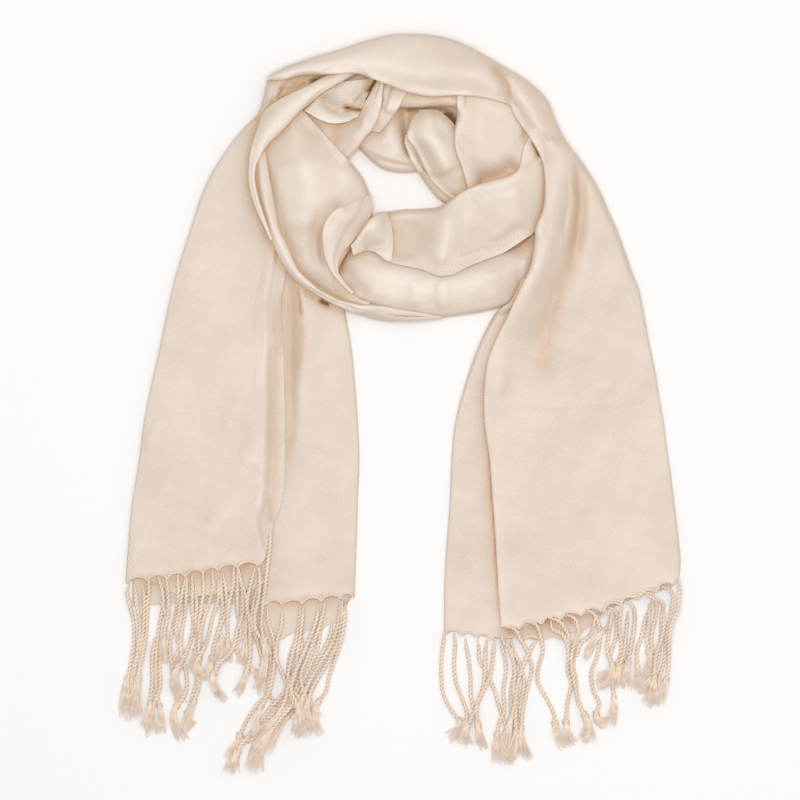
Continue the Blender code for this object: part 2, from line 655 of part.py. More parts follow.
def trimmed(grid, first, last):
    """The grid with its end rows drawn in, to leave a seam's clearance."""
    grid = grid.copy()
    for used, end, inner in ((first, 0, 1), (last, -1, -2)):
        if used:
            inward = grid[inner] - grid[end]
            inward /= np.linalg.norm(inward, axis=-1, keepdims=True)
            grid[end] += inward * SEAM
    return grid


def settled(pile, wall, laid_on):
    """A sheet laid on the pile, its bed lifted until nothing touches."""
    bed = pile.bed()
    grid = laid_on(bed)
    for turn in range(SETTLE_ROUNDS):
        needed = pile.touched(grid, wall)
        if not needed.any():
            break
        more = SETTLE_MORE * (turn + 1)
        bed.lift(np.where(needed > 0.0, needed + more, 0.0), SETTLE_REACH + SETTLE_WIDER * turn)
        grid = laid_on(bed)
    return grid


def lay(pile, name, sections):
    """One stretch of cloth on the pile."""
    creases = CREASES.get(name, ())
    grid = settled(pile, CLOTH, lambda bed: loft(sections, bed, creases, PLIES[name]))
    mesh_object(name, grid, CLOTH, COLOUR)
    pile.add(grid, CLOTH)


def lay_crossing(pile):
    """The stretch over the top and down the right side: one sheet cut into three nodes."""
    stretches = {
        "top_band": TOP_BAND,
        "right_shoulder": RIGHT_SHOULDER,
        "right_tail_front": RIGHT_TAIL_FRONT,
    }
    sections = [section for each in stretches.values() for section in each]
    creases = [crease for name in stretches for crease in CREASES.get(name, ())]
    whole = settled(pile, CLOTH, lambda bed: loft(sections, bed, creases, PLIES["crossing"]))
    start = 0
    for name, each in stretches.items():
        end = min(start + len(each) + 1, len(sections))
        grid = trimmed(whole[start:end], start > 0, end < len(sections))
        mesh_object(name, grid, CLOTH, COLOUR)
        start += len(each)
    pile.add(whole, CLOTH)


def below(hem, start, end):
    """The part of a hem's line between two shares of its length, moved down to clear it."""
    line = np.array([hem.edge_in, *hem.via, hem.edge_out])
    run = np.concatenate([[0.0], np.cumsum(np.hypot(*np.diff(line, axis=0).T))])
    run /= run[-1]
    shares = [start, *[share for share in run if start < share < end], end]
    x, y = place(hem, shares)
    points = [(px / MM, (py - HEM_GAP) / MM) for px, py in zip(x, y)]
    return Section(points[0], points[-1], (), tuple(points[1:-1]))


def lay_fringe(pile, name, hem, sections):
    """The reach of the cords below a hem, as a slab on the pile."""
    def laid_on(bed):
        rows = []
        for section in [hem, *sections]:
            x, y = place(section, np.linspace(0.0, 1.0, FRINGE_COLUMNS + 1))
            rows.append(np.stack([x, y, bed.lowest(x, y) + CORD / 2], axis=-1))
        return np.array(rows)

    mesh_object(name, settled(pile, CORD, laid_on), CORD, FRINGE_COLOUR)


def main():
    for thing in list(bpy.data.objects):
        bpy.data.objects.remove(thing, do_unlink=True)
    pile = Pile()
    left_front_hem = below(LEFT_TAIL_FRONT[-1], 0.01, 0.80)
    left_back_hem = below(LEFT_TAIL_BACK[-1], 0.61, 0.99)
    right_side_hem = below(RIGHT_TAIL_SIDE[-1], 0.01, 0.24)
    right_front_hem = below(RIGHT_TAIL_FRONT[-1], 0.01, 0.99)
    lay_fringe(pile, "left_back_fringe", left_back_hem, LEFT_BACK_FRINGE)
    lay_fringe(pile, "right_side_fringe", right_side_hem, RIGHT_SIDE_FRINGE)
    lay(pile, "left_tail_back", LEFT_TAIL_BACK)
    lay_fringe(pile, "left_front_fringe", left_front_hem, LEFT_FRONT_FRINGE)
    lay(pile, "left_tail_front", LEFT_TAIL_FRONT)
    lay(pile, "neck_back", NECK_BACK)
    lay(pile, "neck_rim", NECK_RIM)
    lay(pile, "neck_puff", NECK_PUFF)
    lay(pile, "loop_right", LOOP_RIGHT)
    lay(pile, "loop_front_lower", LOOP_FRONT_LOWER)
    lay(pile, "loop_front_upper", LOOP_FRONT_UPPER)
    lay(pile, "loop_left", LOOP_LEFT)
    lay(pile, "loop_tuck", LOOP_TUCK)
    lay(pile, "loop_twist", LOOP_TWIST)
    lay(pile, "loop_roll", LOOP_ROLL)
    lay(pile, "loop_curl", LOOP_CURL)
    lay(pile, "neck_strip_left", NECK_STRIP_LEFT)
    lay(pile, "neck_strip_mid", NECK_STRIP_MID)
    lay(pile, "neck_edge", NECK_EDGE)
    lay(pile, "corner_folds", CORNER_FOLDS)
    lay(pile, "loop_edge", LOOP_EDGE)
    lay(pile, "right_tail_side", RIGHT_TAIL_SIDE)
    lay_fringe(pile, "right_front_fringe", right_front_hem, RIGHT_FRONT_FRINGE)
    lay_crossing(pile)


main()
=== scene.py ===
"""A twill pashmina shawl, wrapped once round an open loop and laid flat.

Each stretch of cloth is a folded sheet: rows across it give its edges and heights, and
it is laid on the height of what is below.  Its creases are pressed in one by one.  The
fringe's cords, knots and brushed ends are grown by Geometry Nodes along their routes.
Tables are in millimetres, everything else in metres.
"""
from collections import namedtuple

import bpy
import numpy as np
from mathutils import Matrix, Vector


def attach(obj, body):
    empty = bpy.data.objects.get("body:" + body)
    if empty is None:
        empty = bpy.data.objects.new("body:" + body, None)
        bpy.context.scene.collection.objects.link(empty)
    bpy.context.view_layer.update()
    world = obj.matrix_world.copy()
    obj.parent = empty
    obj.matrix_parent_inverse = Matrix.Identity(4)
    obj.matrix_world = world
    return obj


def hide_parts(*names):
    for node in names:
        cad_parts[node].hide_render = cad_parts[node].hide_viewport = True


bl_info = {
    "name": "Pashmina Shawl",
    "version": (1, 0, 0),
    "blender": (4, 5, 0),
    "location": "View3D > Sidebar > Shawl",
    "description": "Builds a twill shawl wrapped once and laid flat, with its knotted fringe",
    "category": "Add Mesh",
}

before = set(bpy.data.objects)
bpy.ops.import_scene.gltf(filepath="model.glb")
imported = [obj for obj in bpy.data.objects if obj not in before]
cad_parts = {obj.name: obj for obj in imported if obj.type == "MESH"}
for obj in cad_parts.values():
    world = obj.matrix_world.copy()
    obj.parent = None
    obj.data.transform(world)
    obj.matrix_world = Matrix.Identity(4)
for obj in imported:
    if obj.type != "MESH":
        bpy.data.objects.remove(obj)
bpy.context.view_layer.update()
BODY = "root"
MM = 0.001
TINY = 1e-12

# the surface that each sheet is laid on, as a grid of heights
CELL = 0.002
FIELD_X = (-0.264, 0.264)
FIELD_Y = (-0.344, 0.344)
SEAM = 0.0002               # clearance between one sheet and the next
REACH_LOW = 0.0025          # the lowest ply clears what is within this distance
REACH_TOP = 0.006           # the top ply clears what is within this distance
BLUR_LOW = 0.0025
BLUR_TOP = 0.006
SETTLE_ROUNDS = 8           # most times that a sheet is lifted clear of the pile
SETTLE_MORE = 0.0002        # how far past clear it is lifted

# how a sheet is drawn
STATIONS = 97               # places across a stretch where its plan is kept
FOLD_STEPS = 6              # facets round a folded edge
FOLD_ROUND = 0.75           # width of a folded edge against its half height
FOLD_LEAST = 0.0007
FOLD_SHARE = 0.30
PLY_FADE = 0.06             # share of the width in which a ply settles past a hidden edge
CREASE_FADE = 0.22          # share of a crease's length in which it starts and dies away

Row = namedtuple("Row", "edge_in edge_out tops via", defaults=((),))
Run = namedtuple("Run", "start end level fine longer", defaults=(True, (0.0, 0.0)))
# a crease's tone paints shade along it (above 0) or a pale highlight (below 0)
Crease = namedtuple("Crease", "path depth left right tone", defaults=(0.0,))
Hem = namedtuple("Hem", "feet drop rise lean", defaults=(0.0,))
Tassel = namedtuple("Tassel", "route tip spread")

# spacing of the points of a sheet, in metres
ROW_STEP = 0.0022
COLUMN_STEP = 0.0013
MOST_COLUMNS = 72
MOST_ROWS = 270
HIDDEN_STEP = 0.008
GRAIN_SMOOTHING = 30
HEM_REACH = 0.014           # how far a hem's scallops reach into the cloth
HEM_ROWS = 12
HEM_PUFF = 0.0007           # how far the cloth rises in each arch of a hem
DROP_REACH = 0.060          # how far up a longer hidden ply is let down
CLOTH = 0.0009              # thickness of the twill with its nap
PLY_RISE = 0.0016           # least rise from one ply to the next
SHARP_ANGLE = 50.0
HEM_ROUND = 0.6             # how round a hem's arches are

# how far each point lies below or above what is beside it, for the painted shade in crevices and
# the painted highlight on crests
SHELTER_REACH = 0.003
SHELTER_FROM = 0.0015
SHELTER_TO = 0.0070
CREST_REACH = 0.014
CREST_RISE = 0.004
CREST_LEAST = 0.05          # least share of cloth round a point that gives its level
BLOOM_CLEARS = 4.0           # how strongly a painted highlight on a crest clears the painted crevice shade
FACING_FROM, FACING_TO = -0.4, 0.4      # upward lean in which the painted shade and painted highlight come in
EDGE_LEAN = 0.7             # upward lean below which a painted glow stands in for light shining through an edge

# slight unevenness: height in mm, pitch in metres, direction and start in radians
SOFT_WAVES = [
    (0.35, 0.071, 0.4, 0.3),
    (0.25, 0.043, 1.9, 1.7),
    (0.16, 0.027, 2.7, 4.1),
    (0.10, 0.017, 1.2, 2.2),
]

# the fringe
FRINGE_X = (-0.224, 0.224)
FRINGE_Y = (-0.330, -0.120)
CORD_CELL = 0.001
CORD_STEP = 0.002
CORD_START = 0.010          # length in which a cord thickens below its hem
CORD_TIP = 0.5              # its share of the width where it starts
CORD_SINK = 0.7             # how far its start sinks into the hem, against its half width
CORD_KIND = 0.0
BRUSH_KIND = 1.0
BRUSH_POINTS = 9
BRUSH_LIFT = 0.0004
BRUSH_DEPTH = 0.0015
CORD_REST = 0.85            # height of a cord's middle over its bed, against its half width
CORD_FOOT = 0.6             # how much of a cord's half width rests on its bed
CORD_TOP = 0.55             # what the next cord lies on: height over a cord's middle
CORD_COVER = 0.8            # and width, both against its half width
BRUSH_ROOT = 0.6            # a brush's width at its knot
BRUSH_OPENS = 0.8           # how soon it opens
BRUSH_BEND = 0.45           # how far it keeps its cord's heading
BRUSH_FALL = 0.3            # share of its length in which it comes down
BRUSH_LANES = (-0.6, 0.0, 0.6)
HUMP = 3                    # steps over which a cord climbs over another
THREAD_WIDTH = 0.52         # thin cord along a hem, against a tassel's width
THREAD_INSET = 0.0012
THREAD_RISE = 0.0003
ARCH_POINTS = 9
PLY_SIDES = 14
PLY_WAIST = 0.60            # how narrow a cord is between its plies
RINGS_SHARE = 0.13          # spacing of a cord's rings against its twist pitch
KNOT_RINGS = 14
KNOT_TURNS = 2.0
KNOT_COIL = 0.29            # its coil's radius, against the knot's width
KNOT_CLOSES = 0.85          # how far the coil closes up
KNOT_TALL = 0.55            # its height
KNOT_DROP = -0.27           # where it starts below the cord's end
KNOT_PLY = 0.24             # half width of the cord that it is wound of
KNOT_SIZES = (0.85, 1.15)
ANY_TURN = (0.0, 6.28)
FIBRE_WAVER = 0.006
WAVER_SCALE = 90.0
WAVERS = (0.0, 40.0)
FIBRE_LENGTHS = (0.62, 1.0)
FIBRE_LIFT = 0.0004         # how far a fibre's tip is raised
BRUSH_THICK = 0.0022        # a brush's depth at its root
BRUSH_THINS = 0.0010        # and how much of it is gone at its tips

# Hems: the feet of the tassels across each one, and how far the cloth hangs there.
HEMS = {
    "left_tail_back": Hem((-119, -114, -100, -83, -67, -51, -40), 4.5, 1.5),
    "left_tail_front": Hem((-231.5, -214.5, -198, -182.5, -167.5, -154.5, -138.5, -121), 4.5, 1.0),
    "right_tail_side": Hem((39.5, 53, 65.5, 77.5, 88, 103, 120, 137, 154, 171, 188, 205, 222),
                           4.0, 1.5),
    "right_tail_front": Hem((89, 106, 125, 141, 158.5, 176, 191, 205.5, 221.5, 236),
                            6.0, 0.5, 0.70),
}

# Each stretch's sections, from where it starts: the inner edge, the outer edge, the heights of
# the top ply between them, and any points that the section bends through.
STRETCHES = {
"left_tail_back": (
    ((-117.5, 251.5), (-59.5, 251.5), (7, 8, 8, 8, 6)),
    ((-151.5, 212.5), (-52.5, 198), (3, 5, 7, 9, 6)),
    ((-177.5, 153), (-49.5, 138.5), (1, 2, 4, 9, 7)),
    ((-187, 124), (-48.5, 109), (1, 1, 3, 9, 7)),
    ((-195.5, 92), (-47, 81.5), (1, 1, 2, 8, 6)),
    ((-202.5, 58), (-42.5, 58), (1, 1, 2, 7, 6)),
    ((-210, 24), (-39, 25.5), (1, 1, 2, 5, 5)),
    ((-217, -10), (-36.5, -7), (1, 1, 2, 4.5, 4)),
    ((-222, -47), (-35, -41), (1, 1, 2.5, 4, 4)),
    ((-228, -85), (-36.5, -85), (1, 1, 3, 4, 4)),
    ((-231, -120), (-37.5, -120), (1, 1, 3, 4, 4)),
    ((-232, -166), (-39, -158), (1, 1, 3, 4, 4), ((-160, -163), (-95, -165))),
),
"left_tail_front": (
    ((-117.5, 251.5), (-85, 246.5), (11, 12, 12, 11, 10)),
    ((-133.5, 236.5), (-85, 219.5), (9, 12, 12, 11, 10)),
    ((-151.5, 212.5), (-86.5, 194), (8, 10, 11, 10, 9)),
    ((-166.5, 185.5), (-90, 164), (7, 8, 9, 9, 8)),
    ((-177.5, 153), (-94.5, 138.5), (6, 7, 8, 8, 6)),
    ((-187, 124), (-97, 115.5), (6, 7, 8, 8, 5)),
    ((-195.5, 92), (-101, 90), (6, 6.5, 7, 7, 4)),
    ((-202.5, 58), (-99.5, 58), (6, 6.5, 7, 7, 3)),
    ((-210, 24), (-98.5, 24), (6, 6, 6.5, 6.5, 3)),
    ((-217, -10), (-98, -8.5), (5.5, 6, 6, 6, 3)),
    ((-222, -47), (-98, -46), (5.5, 6, 6, 6, 3)),
    ((-228, -85), (-100.5, -78), (5.5, 6, 6, 6, 3)),
    ((-231, -120), (-104.5, -92.5), (5.5, 6, 6, 6, 4.5)),
    ((-233, -145.5), (-109.5, -103), (5.5, 6, 6, 6.5, 6.5), ((-190, -141), (-145, -133.5),
     (-119, -130))),
),
"neck_back": (
    ((-108, 279), (-104.5, 241.5), (2.5, 9, 12)),
    ((-97, 285), (-93.5, 236.5), (8, 13, 12)),
    ((-76.5, 292.5), (-66.5, 217.5), (13, 15, 11)),
    ((-55, 299), (-47, 211), (14, 16, 11)),
    ((-41.5, 304.5), (-36.5, 221), (14, 16, 12)),
    ((-27, 308.5), (-24.5, 210.5), (14, 16, 11)),
    ((-11, 312), (-13, 203), (14, 16, 11)),
    ((5, 313), (1.5, 200.5), (14, 15, 11)),
    ((18, 313), (17, 202.5), (14, 14, 10)),
    ((32.5, 311), (31.5, 219.5), (14, 14, 10)),
    ((46, 307.5), (47.5, 228), (14, 14, 10)),
    ((59.5, 304.5), (59.5, 236.5), (14, 14, 10)),
),
"neck_rim": (
    ((4.5, 232), (14.5, 232), (15, 17)),
    ((4, 225), (15.5, 225), (14.5, 16.5)),
    ((7, 217), (19.5, 217.5), (13, 15)),
    ((10.5, 208), (23, 210), (12, 14)),
    ((15.5, 201), (26.5, 203), (10, 13)),
    ((20.5, 193), (31.5, 196.5), (10, 13)),
    ((27, 184.5), (37.5, 188.5), (10, 12)),
    ((34, 177), (43.5, 182), (10, 12)),
    ((41, 172.5), (49.5, 177.5), (10, 12)),
),
"neck_puff": (
    ((17, 253), (31.5, 253), (17, 19, 17)),
    ((11, 246.5), (40, 246.5), (17, 23, 18)),
    ((7, 237), (47.5, 238), (18, 25, 20)),
    ((6.5, 229.5), (52, 228), (18, 26, 20)),
    ((12.5, 221), (55, 217.5), (17, 25, 20)),
    ((17, 212.5), (58.5, 208), (16, 24, 19)),
    ((21, 204), (62, 199), (15, 22, 18)),
    ((26.5, 194), (64, 190.5), (14, 19, 16)),
    ((35.5, 184.5), (63, 183.5), (13, 17, 15)),
    ((44, 178), (63, 178.5), (13, 15, 14)),
),
"neck_edge": (
    ((-8.5, 275.5), (-10, 256.5), (23, 24)),
    ((1.5, 273.5), (1.5, 255.5), (24, 25)),
    ((15.5, 273), (16, 255.5), (24, 26)),
    ((29, 272), (30.5, 256.5), (24, 26)),
    ((41, 272), (41, 256.5), (24, 26)),
    ((49.5, 272), (49.5, 255), (23, 25)),
),
"neck_strip_mid": (
    ((-19.5, 279), (10, 272), (26, 25.5, 25)),
    ((-19.5, 268.5), (3, 262.5), (26, 25, 24.5)),
    ((-21, 258.5), (-1.5, 254), (25, 24.5, 24)),
    ((-24.5, 249), (-7, 246), (23, 23.5, 23)),
    ((-28, 241.5), (-12, 239.5), (21, 22, 21.5)),
    ((-29, 235.5), (-17, 234), (19, 20, 19.5)),
),
"neck_strip_left": (
    ((-19, 279), (-13.5, 277), (27, 28)),
    ((-24, 268), (-15, 267), (27, 30)),
    ((-32, 256.5), (-16, 256), (26, 30)),
    ((-42.5, 251), (-19, 245.5), (20, 25, 29)),
    ((-57, 249), (-23.5, 237), (17, 20, 26)),
    ((-79, 251), (-30, 229), (16, 17.5, 23)),
    ((-78, 242), (-35.5, 221.5), (15.5, 17, 20)),
    ((-69.5, 230.5), (-41, 215), (15.5, 16, 18)),
    ((-59.5, 219.5), (-45.5, 210), (15, 15.5, 16)),
),
"loop_right": (
    ((48, 270.5), (102, 267), (25, 25, 22)),
    ((48.5, 258.5), (107, 255), (26, 25.5, 24)),
    ((48.5, 247.5), (110.5, 244), (26, 25.5, 25)),
    ((47, 236.5), (115.5, 232), (26, 25.5, 25)),
    ((46.5, 225), (122.5, 221), (25, 25, 23)),
    ((48.5, 215), (126, 207.5), (24, 23.5, 19)),
    ((52.5, 205), (129, 192), (22, 20, 16)),
    ((55.5, 194.5), (129, 177), (19, 15, 15)),
    ((58, 184.5), (127.5, 164), (16, 13, 14)),
),
"loop_front_lower": (
    ((-51, 120.5), (-52, 100.5), (10, 12, 9)),
    ((-47, 128.5), (-41.5, 92.5), (12, 15, 12)),
    ((-37.5, 137), (-32.5, 89), (14, 17, 14)),
    ((-24.5, 140), (-21, 85), (14, 18, 14)),
    ((-10, 136), (-8.5, 82), (13, 18, 14)),
    ((4, 134.5), (7, 77.5), (12, 18, 12)),
    ((18.5, 131), (20.5, 75.5), (12, 18.5, 12)),
    ((34, 127.5), (35.5, 77), (12, 18.5, 12)),
    ((47.5, 131), (49.5, 79), (12, 18, 12)),
    ((63, 136), (66.5, 81.5), (12, 17.5, 12)),
    ((78, 143), (81, 85), (12, 17, 12)),
    ((92, 146), (92, 89), (12, 16, 11)),
    ((105.5, 148), (102, 100.5), (11, 14, 10)),
    ((115, 149.5), (110.5, 113), (11, 13, 10)),
    ((123, 153), (120, 124), (10, 12, 9)),
),
"loop_front_upper": (
    ((-18.5, 166), (-18.5, 132.5), (14, 15, 14)),
    ((-7.5, 167), (-7.5, 123.5), (14, 15, 16)),
    ((4, 168.5), (5, 120.5), (14, 14.5, 17.5)),
    ((17, 169), (18.5, 117.5), (15, 15.5, 18.5)),
    ((32.5, 170.5), (34, 112), (17, 19.5, 19.5)),
    ((40, 174), (44, 113), (20, 21, 19.5)),
    ((51, 182), (56, 119), (24, 21, 19)),
    ((66.5, 189), (73, 126), (27, 21, 19)),
    ((82.5, 194), (90, 133), (27.5, 23, 19)),
    ((93.5, 197), (102, 141), (27, 24, 18.5)),
    ((101, 203), (114, 149.5), (26, 24, 17)),
    ((103.5, 213.5), (123, 164), (24, 24, 17)),
    ((105.5, 222), (127.5, 178.5), (22, 24, 17)),
    ((110.5, 231), (129, 194), (21, 23, 18)),
),
"loop_left": (
    ((-98.5, 255), (-81, 251.5), (20, 21, 19)),
    ((-109.5, 240.5), (-69.5, 238.5), (18, 22, 18)),
    ((-117.5, 226), (-58.5, 226), (16, 23, 17.5)),
    ((-117.5, 211), (-46.5, 212.5), (16, 24, 17)),
    ((-115.5, 194), (-33, 197), (15, 24, 16.5)),
    ((-112, 177), (-25, 178.5), (15, 23, 15.5)),
    ((-107, 158), (-24, 165), (14, 22, 16)),
    ((-98.5, 137.5), (-30.5, 152), (13, 21, 17)),
    ((-92, 127.5), (-41, 137.5), (13, 20, 17)),
    ((-85, 117.5), (-50, 124), (13, 18, 16)),
    ((-75, 106), (-52.5, 113), (12, 16, 14.5)),
    ((-64, 98), (-48.5, 103.5), (12, 13.5, 12)),
    ((-52.5, 92.5), (-41, 97), (12, 13, 12)),
    ((-41, 89), (-33, 92), (12, 13, 12)),
    ((-29, 87.5), (-24.5, 89), (12, 12.5, 12)),
),
"loop_tuck": (
    ((-43.5, 172.5), (-24.5, 182), (18, 18, 13)),
    ((-49.5, 171), (-23.5, 170.5), (20, 19, 15)),
    ((-58, 165), (-28, 157), (24.5, 22, 18)),
    ((-63.5, 157), (-34, 149.5), (25.5, 22, 18.5)),
    ((-65.5, 147), (-40.5, 141), (25.5, 21, 18.5)),
    ((-65, 136), (-47, 132.5), (24.5, 20, 18)),
    ((-62.5, 125), (-51.5, 124.5), (22.5, 19.5, 17.5)),
    ((-58, 115), (-52.5, 116), (20, 18.5, 17)),
    ((-50, 105.5), (-47.5, 108), (17.5, 17, 16)),
    ((-41, 96.5), (-39, 98), (16.5, 16.5, 16)),
),
"loop_twist": (
    ((-41.5, 137.5), (-39.5, 129), (23, 22)),
    ((-37, 143.5), (-33.5, 132), (25.5, 22.5)),
    ((-30, 154), (-27, 133.5), (27, 23, 21)),
    ((-22, 163), (-18.5, 130.5), (25, 25, 19)),
    ((-15.5, 166), (-13, 126), (21, 23, 19)),
    ((-11.5, 166), (-7.5, 123.5), (18, 19, 19), ((-7.5, 154.5), (-6, 140))),
),
"loop_roll": (
    ((-122.5, 219.5), (-114.5, 217.5), (19, 21, 20)),
    ((-124, 202.5), (-112, 202), (18, 21.5, 20)),
    ((-123, 185.5), (-109, 185), (17, 21.5, 20)),
    ((-119.5, 170), (-106, 169), (17, 22, 20)),
    ((-113.5, 153), (-102.5, 152), (17, 21.5, 20)),
    ((-106, 136), (-95, 135.5), (17, 21, 19.5)),
    ((-98.5, 121), (-86, 117.5), (15, 20.5, 19)),
    ((-88, 107.5), (-76.5, 108), (13, 20, 19)),
    ((-73, 98), (-65.5, 100.5), (12, 19.5, 19)),
    ((-55, 88), (-50, 92.5), (11, 19, 19)),
    ((-37.5, 80.5), (-34, 88.5), (10, 18, 19)),
    ((-18.5, 75), (-17, 86.5), (9, 17, 19)),
    ((0, 74), (0, 83.5), (8, 15, 19)),
    ((15.5, 74.5), (15.5, 81), (8, 13, 17)),
    ((26.5, 75.5), (26.5, 79), (8, 10, 13)),
    ((35, 76.5), (35, 77.5), (8, 9, 10)),
),
"loop_curl": (
    ((-55, 275.5), (-18.5, 279.5), (25, 27, 23)),
    ((-63, 269.5), (-23, 271.5), (26, 27, 24)),
    ((-71.5, 263.5), (-28, 264.5), (26, 25.5, 24)),
    ((-77.5, 256.5), (-31.5, 256), (26, 24, 24)),
    ((-81, 252), (-36, 246.5), (24.5, 26.5, 24), ((-69.5, 245), (-59.5, 241.5), (-47, 242))),
),
"corner_folds": (
    ((-112, 279.5), (-59.5, 284), (16, 19, 15, 18, 17)),
    ((-113, 275.5), (-66.5, 276), (16, 19, 14, 18, 17)),
    ((-114.5, 268.5), (-80, 268), (16, 19, 15, 18, 19)),
    ((-116.5, 261), (-95, 260), (16, 18, 16, 18, 18)),
    ((-119, 252.5), (-109, 251.5), (15, 17, 16, 17, 17)),
    ((-121.5, 244), (-116.5, 243), (14, 15, 15, 15, 15)),
),
"loop_edge": (
    ((-46, 292.5), (-34, 284), (28, 29, 28)),
    ((-62, 282), (-48.5, 277), (28, 30.5, 30)),
    ((-80, 272), (-67, 266), (27.5, 31, 31)),
    ((-93.5, 266), (-80, 255), (26, 31, 31)),
    ((-105.5, 259), (-90, 245.5), (24, 30, 30)),
    ((-115, 251), (-100.5, 234.5), (22, 28.5, 28.5)),
    ((-121, 235.5), (-111, 224.5), (21, 27, 27)),
    ((-126, 219.5), (-118.5, 213.5), (20, 25, 26)),
    ((-128, 205), (-122.5, 204), (19, 23, 24.5)),
    ((-128, 192), (-123, 192), (18, 22, 23)),
    ((-125.5, 179.5), (-120.5, 179.5), (17, 21, 22)),
    ((-121, 166.5), (-117, 167.5), (17, 20, 21)),
    ((-115, 154), (-112.5, 154.5), (16, 18, 19)),
    ((-109.5, 142), (-108.5, 143), (15, 17, 17)),
),
"right_tail_side": (
    ((104, 110), (201, 105), (14, 10, 4)),
    ((95, 92), (204, 92), (13, 9, 4)),
    ((82.5, 81.5), (206.5, 70.5), (11, 7, 3)),
    ((69.5, 58), (212.5, 45), (9, 6, 3)),
    ((54.5, 16), (218.5, 13.5), (7, 4, 3)),
    ((47, -14.5), (222.5, -17), (5, 3, 3)),
    ((44, -48.5), (227, -49.5), (4, 3, 3)),
    ((42.5, -82.5), (230.5, -83.5), (4, 3, 3)),
    ((40, -116.5), (234, -116.5), (4, 3, 3)),
    ((38, -154.5), (234.5, -143), (4, 3, 3)),
    ((38, -189), (231, -150.5), (4, 3, 3), ((85, -196), (136, -195), (161.5, -186), (178.5, -166),
     (207, -156))),
),
"top_band": (
    ((-111.5, 278.5), (-112.5, 280.5), (20, 21, 19)),
    ((-98.5, 278.5), (-101.5, 287), (25, 26, 21)),
    ((-85, 282), (-88, 292.5), (28, 27, 22)),
    ((-68, 282.5), (-73, 297.5), (30, 30, 23)),
    ((-51, 283), (-56, 302), (31, 31, 24)),
    ((-36.5, 283.5), (-40, 307.5), (32, 33, 25)),
    ((-24, 279), (-27, 311.5), (33, 34, 25)),
    ((-8.5, 273), (-10, 316), (33, 35, 25)),
    ((8.5, 267), (8.5, 317), (32, 35, 25)),
    ((25.5, 264), (27, 316), (31, 35, 25)),
    ((47, 265), (47.5, 311), (30, 34, 25)),
    ((68, 263.5), (68, 301.5), (29, 33, 24)),
    ((85, 259.5), (90, 289), (28, 31, 23)),
    ((93.5, 256), (109, 277), (27, 30, 23)),
    ((96, 250), (124, 262.5), (26, 30, 22)),
),
"right_shoulder": (
    ((102, 240.5), (132.5, 243), (26, 29, 21)),
    ((111.5, 227), (142, 225), (26, 28, 20)),
    ((120, 211), (153, 211), (26, 27, 19)),
    ((123, 185.5), (169, 185.5), (26, 24, 17)),
    ((121.5, 168.5), (177.5, 166), (26, 22, 15)),
    ((115.5, 153), (185.5, 148), (25, 20, 13)),
    ((114, 138.5), (190.5, 134.5), (24, 18, 12)),
    ((110.5, 119), (197, 115.5), (22, 16, 11)),
    ((102, 100.5), (202.5, 100.5), (20, 14, 10)),
    ((92.5, 80), (206.5, 82.5), (17, 12, 9)),
),
"right_tail_front": (
    ((83.5, 62), (211, 58), (14, 10, 8)),
    ((75.5, 42.5), (216, 34), (12, 9, 8)),
    ((72, 19.5), (220, 10), (10, 8, 7)),
    ((72, -10), (224.5, -17), (8, 7.5, 7)),
    ((76.5, -44), (228.5, -47.5), (7, 7, 7)),
    ((79, -78), (233, -81.5), (7, 7, 7)),
    ((81.5, -112), (236.5, -112), (7, 7, 7)),
    ((83.5, -150.5), (238, -129), (7, 7, 7)),
    ((86, -187), (237, -143.5), (7, 7, 7), ((131, -176.5), (173.5, -168), (205, -157))),
),
}

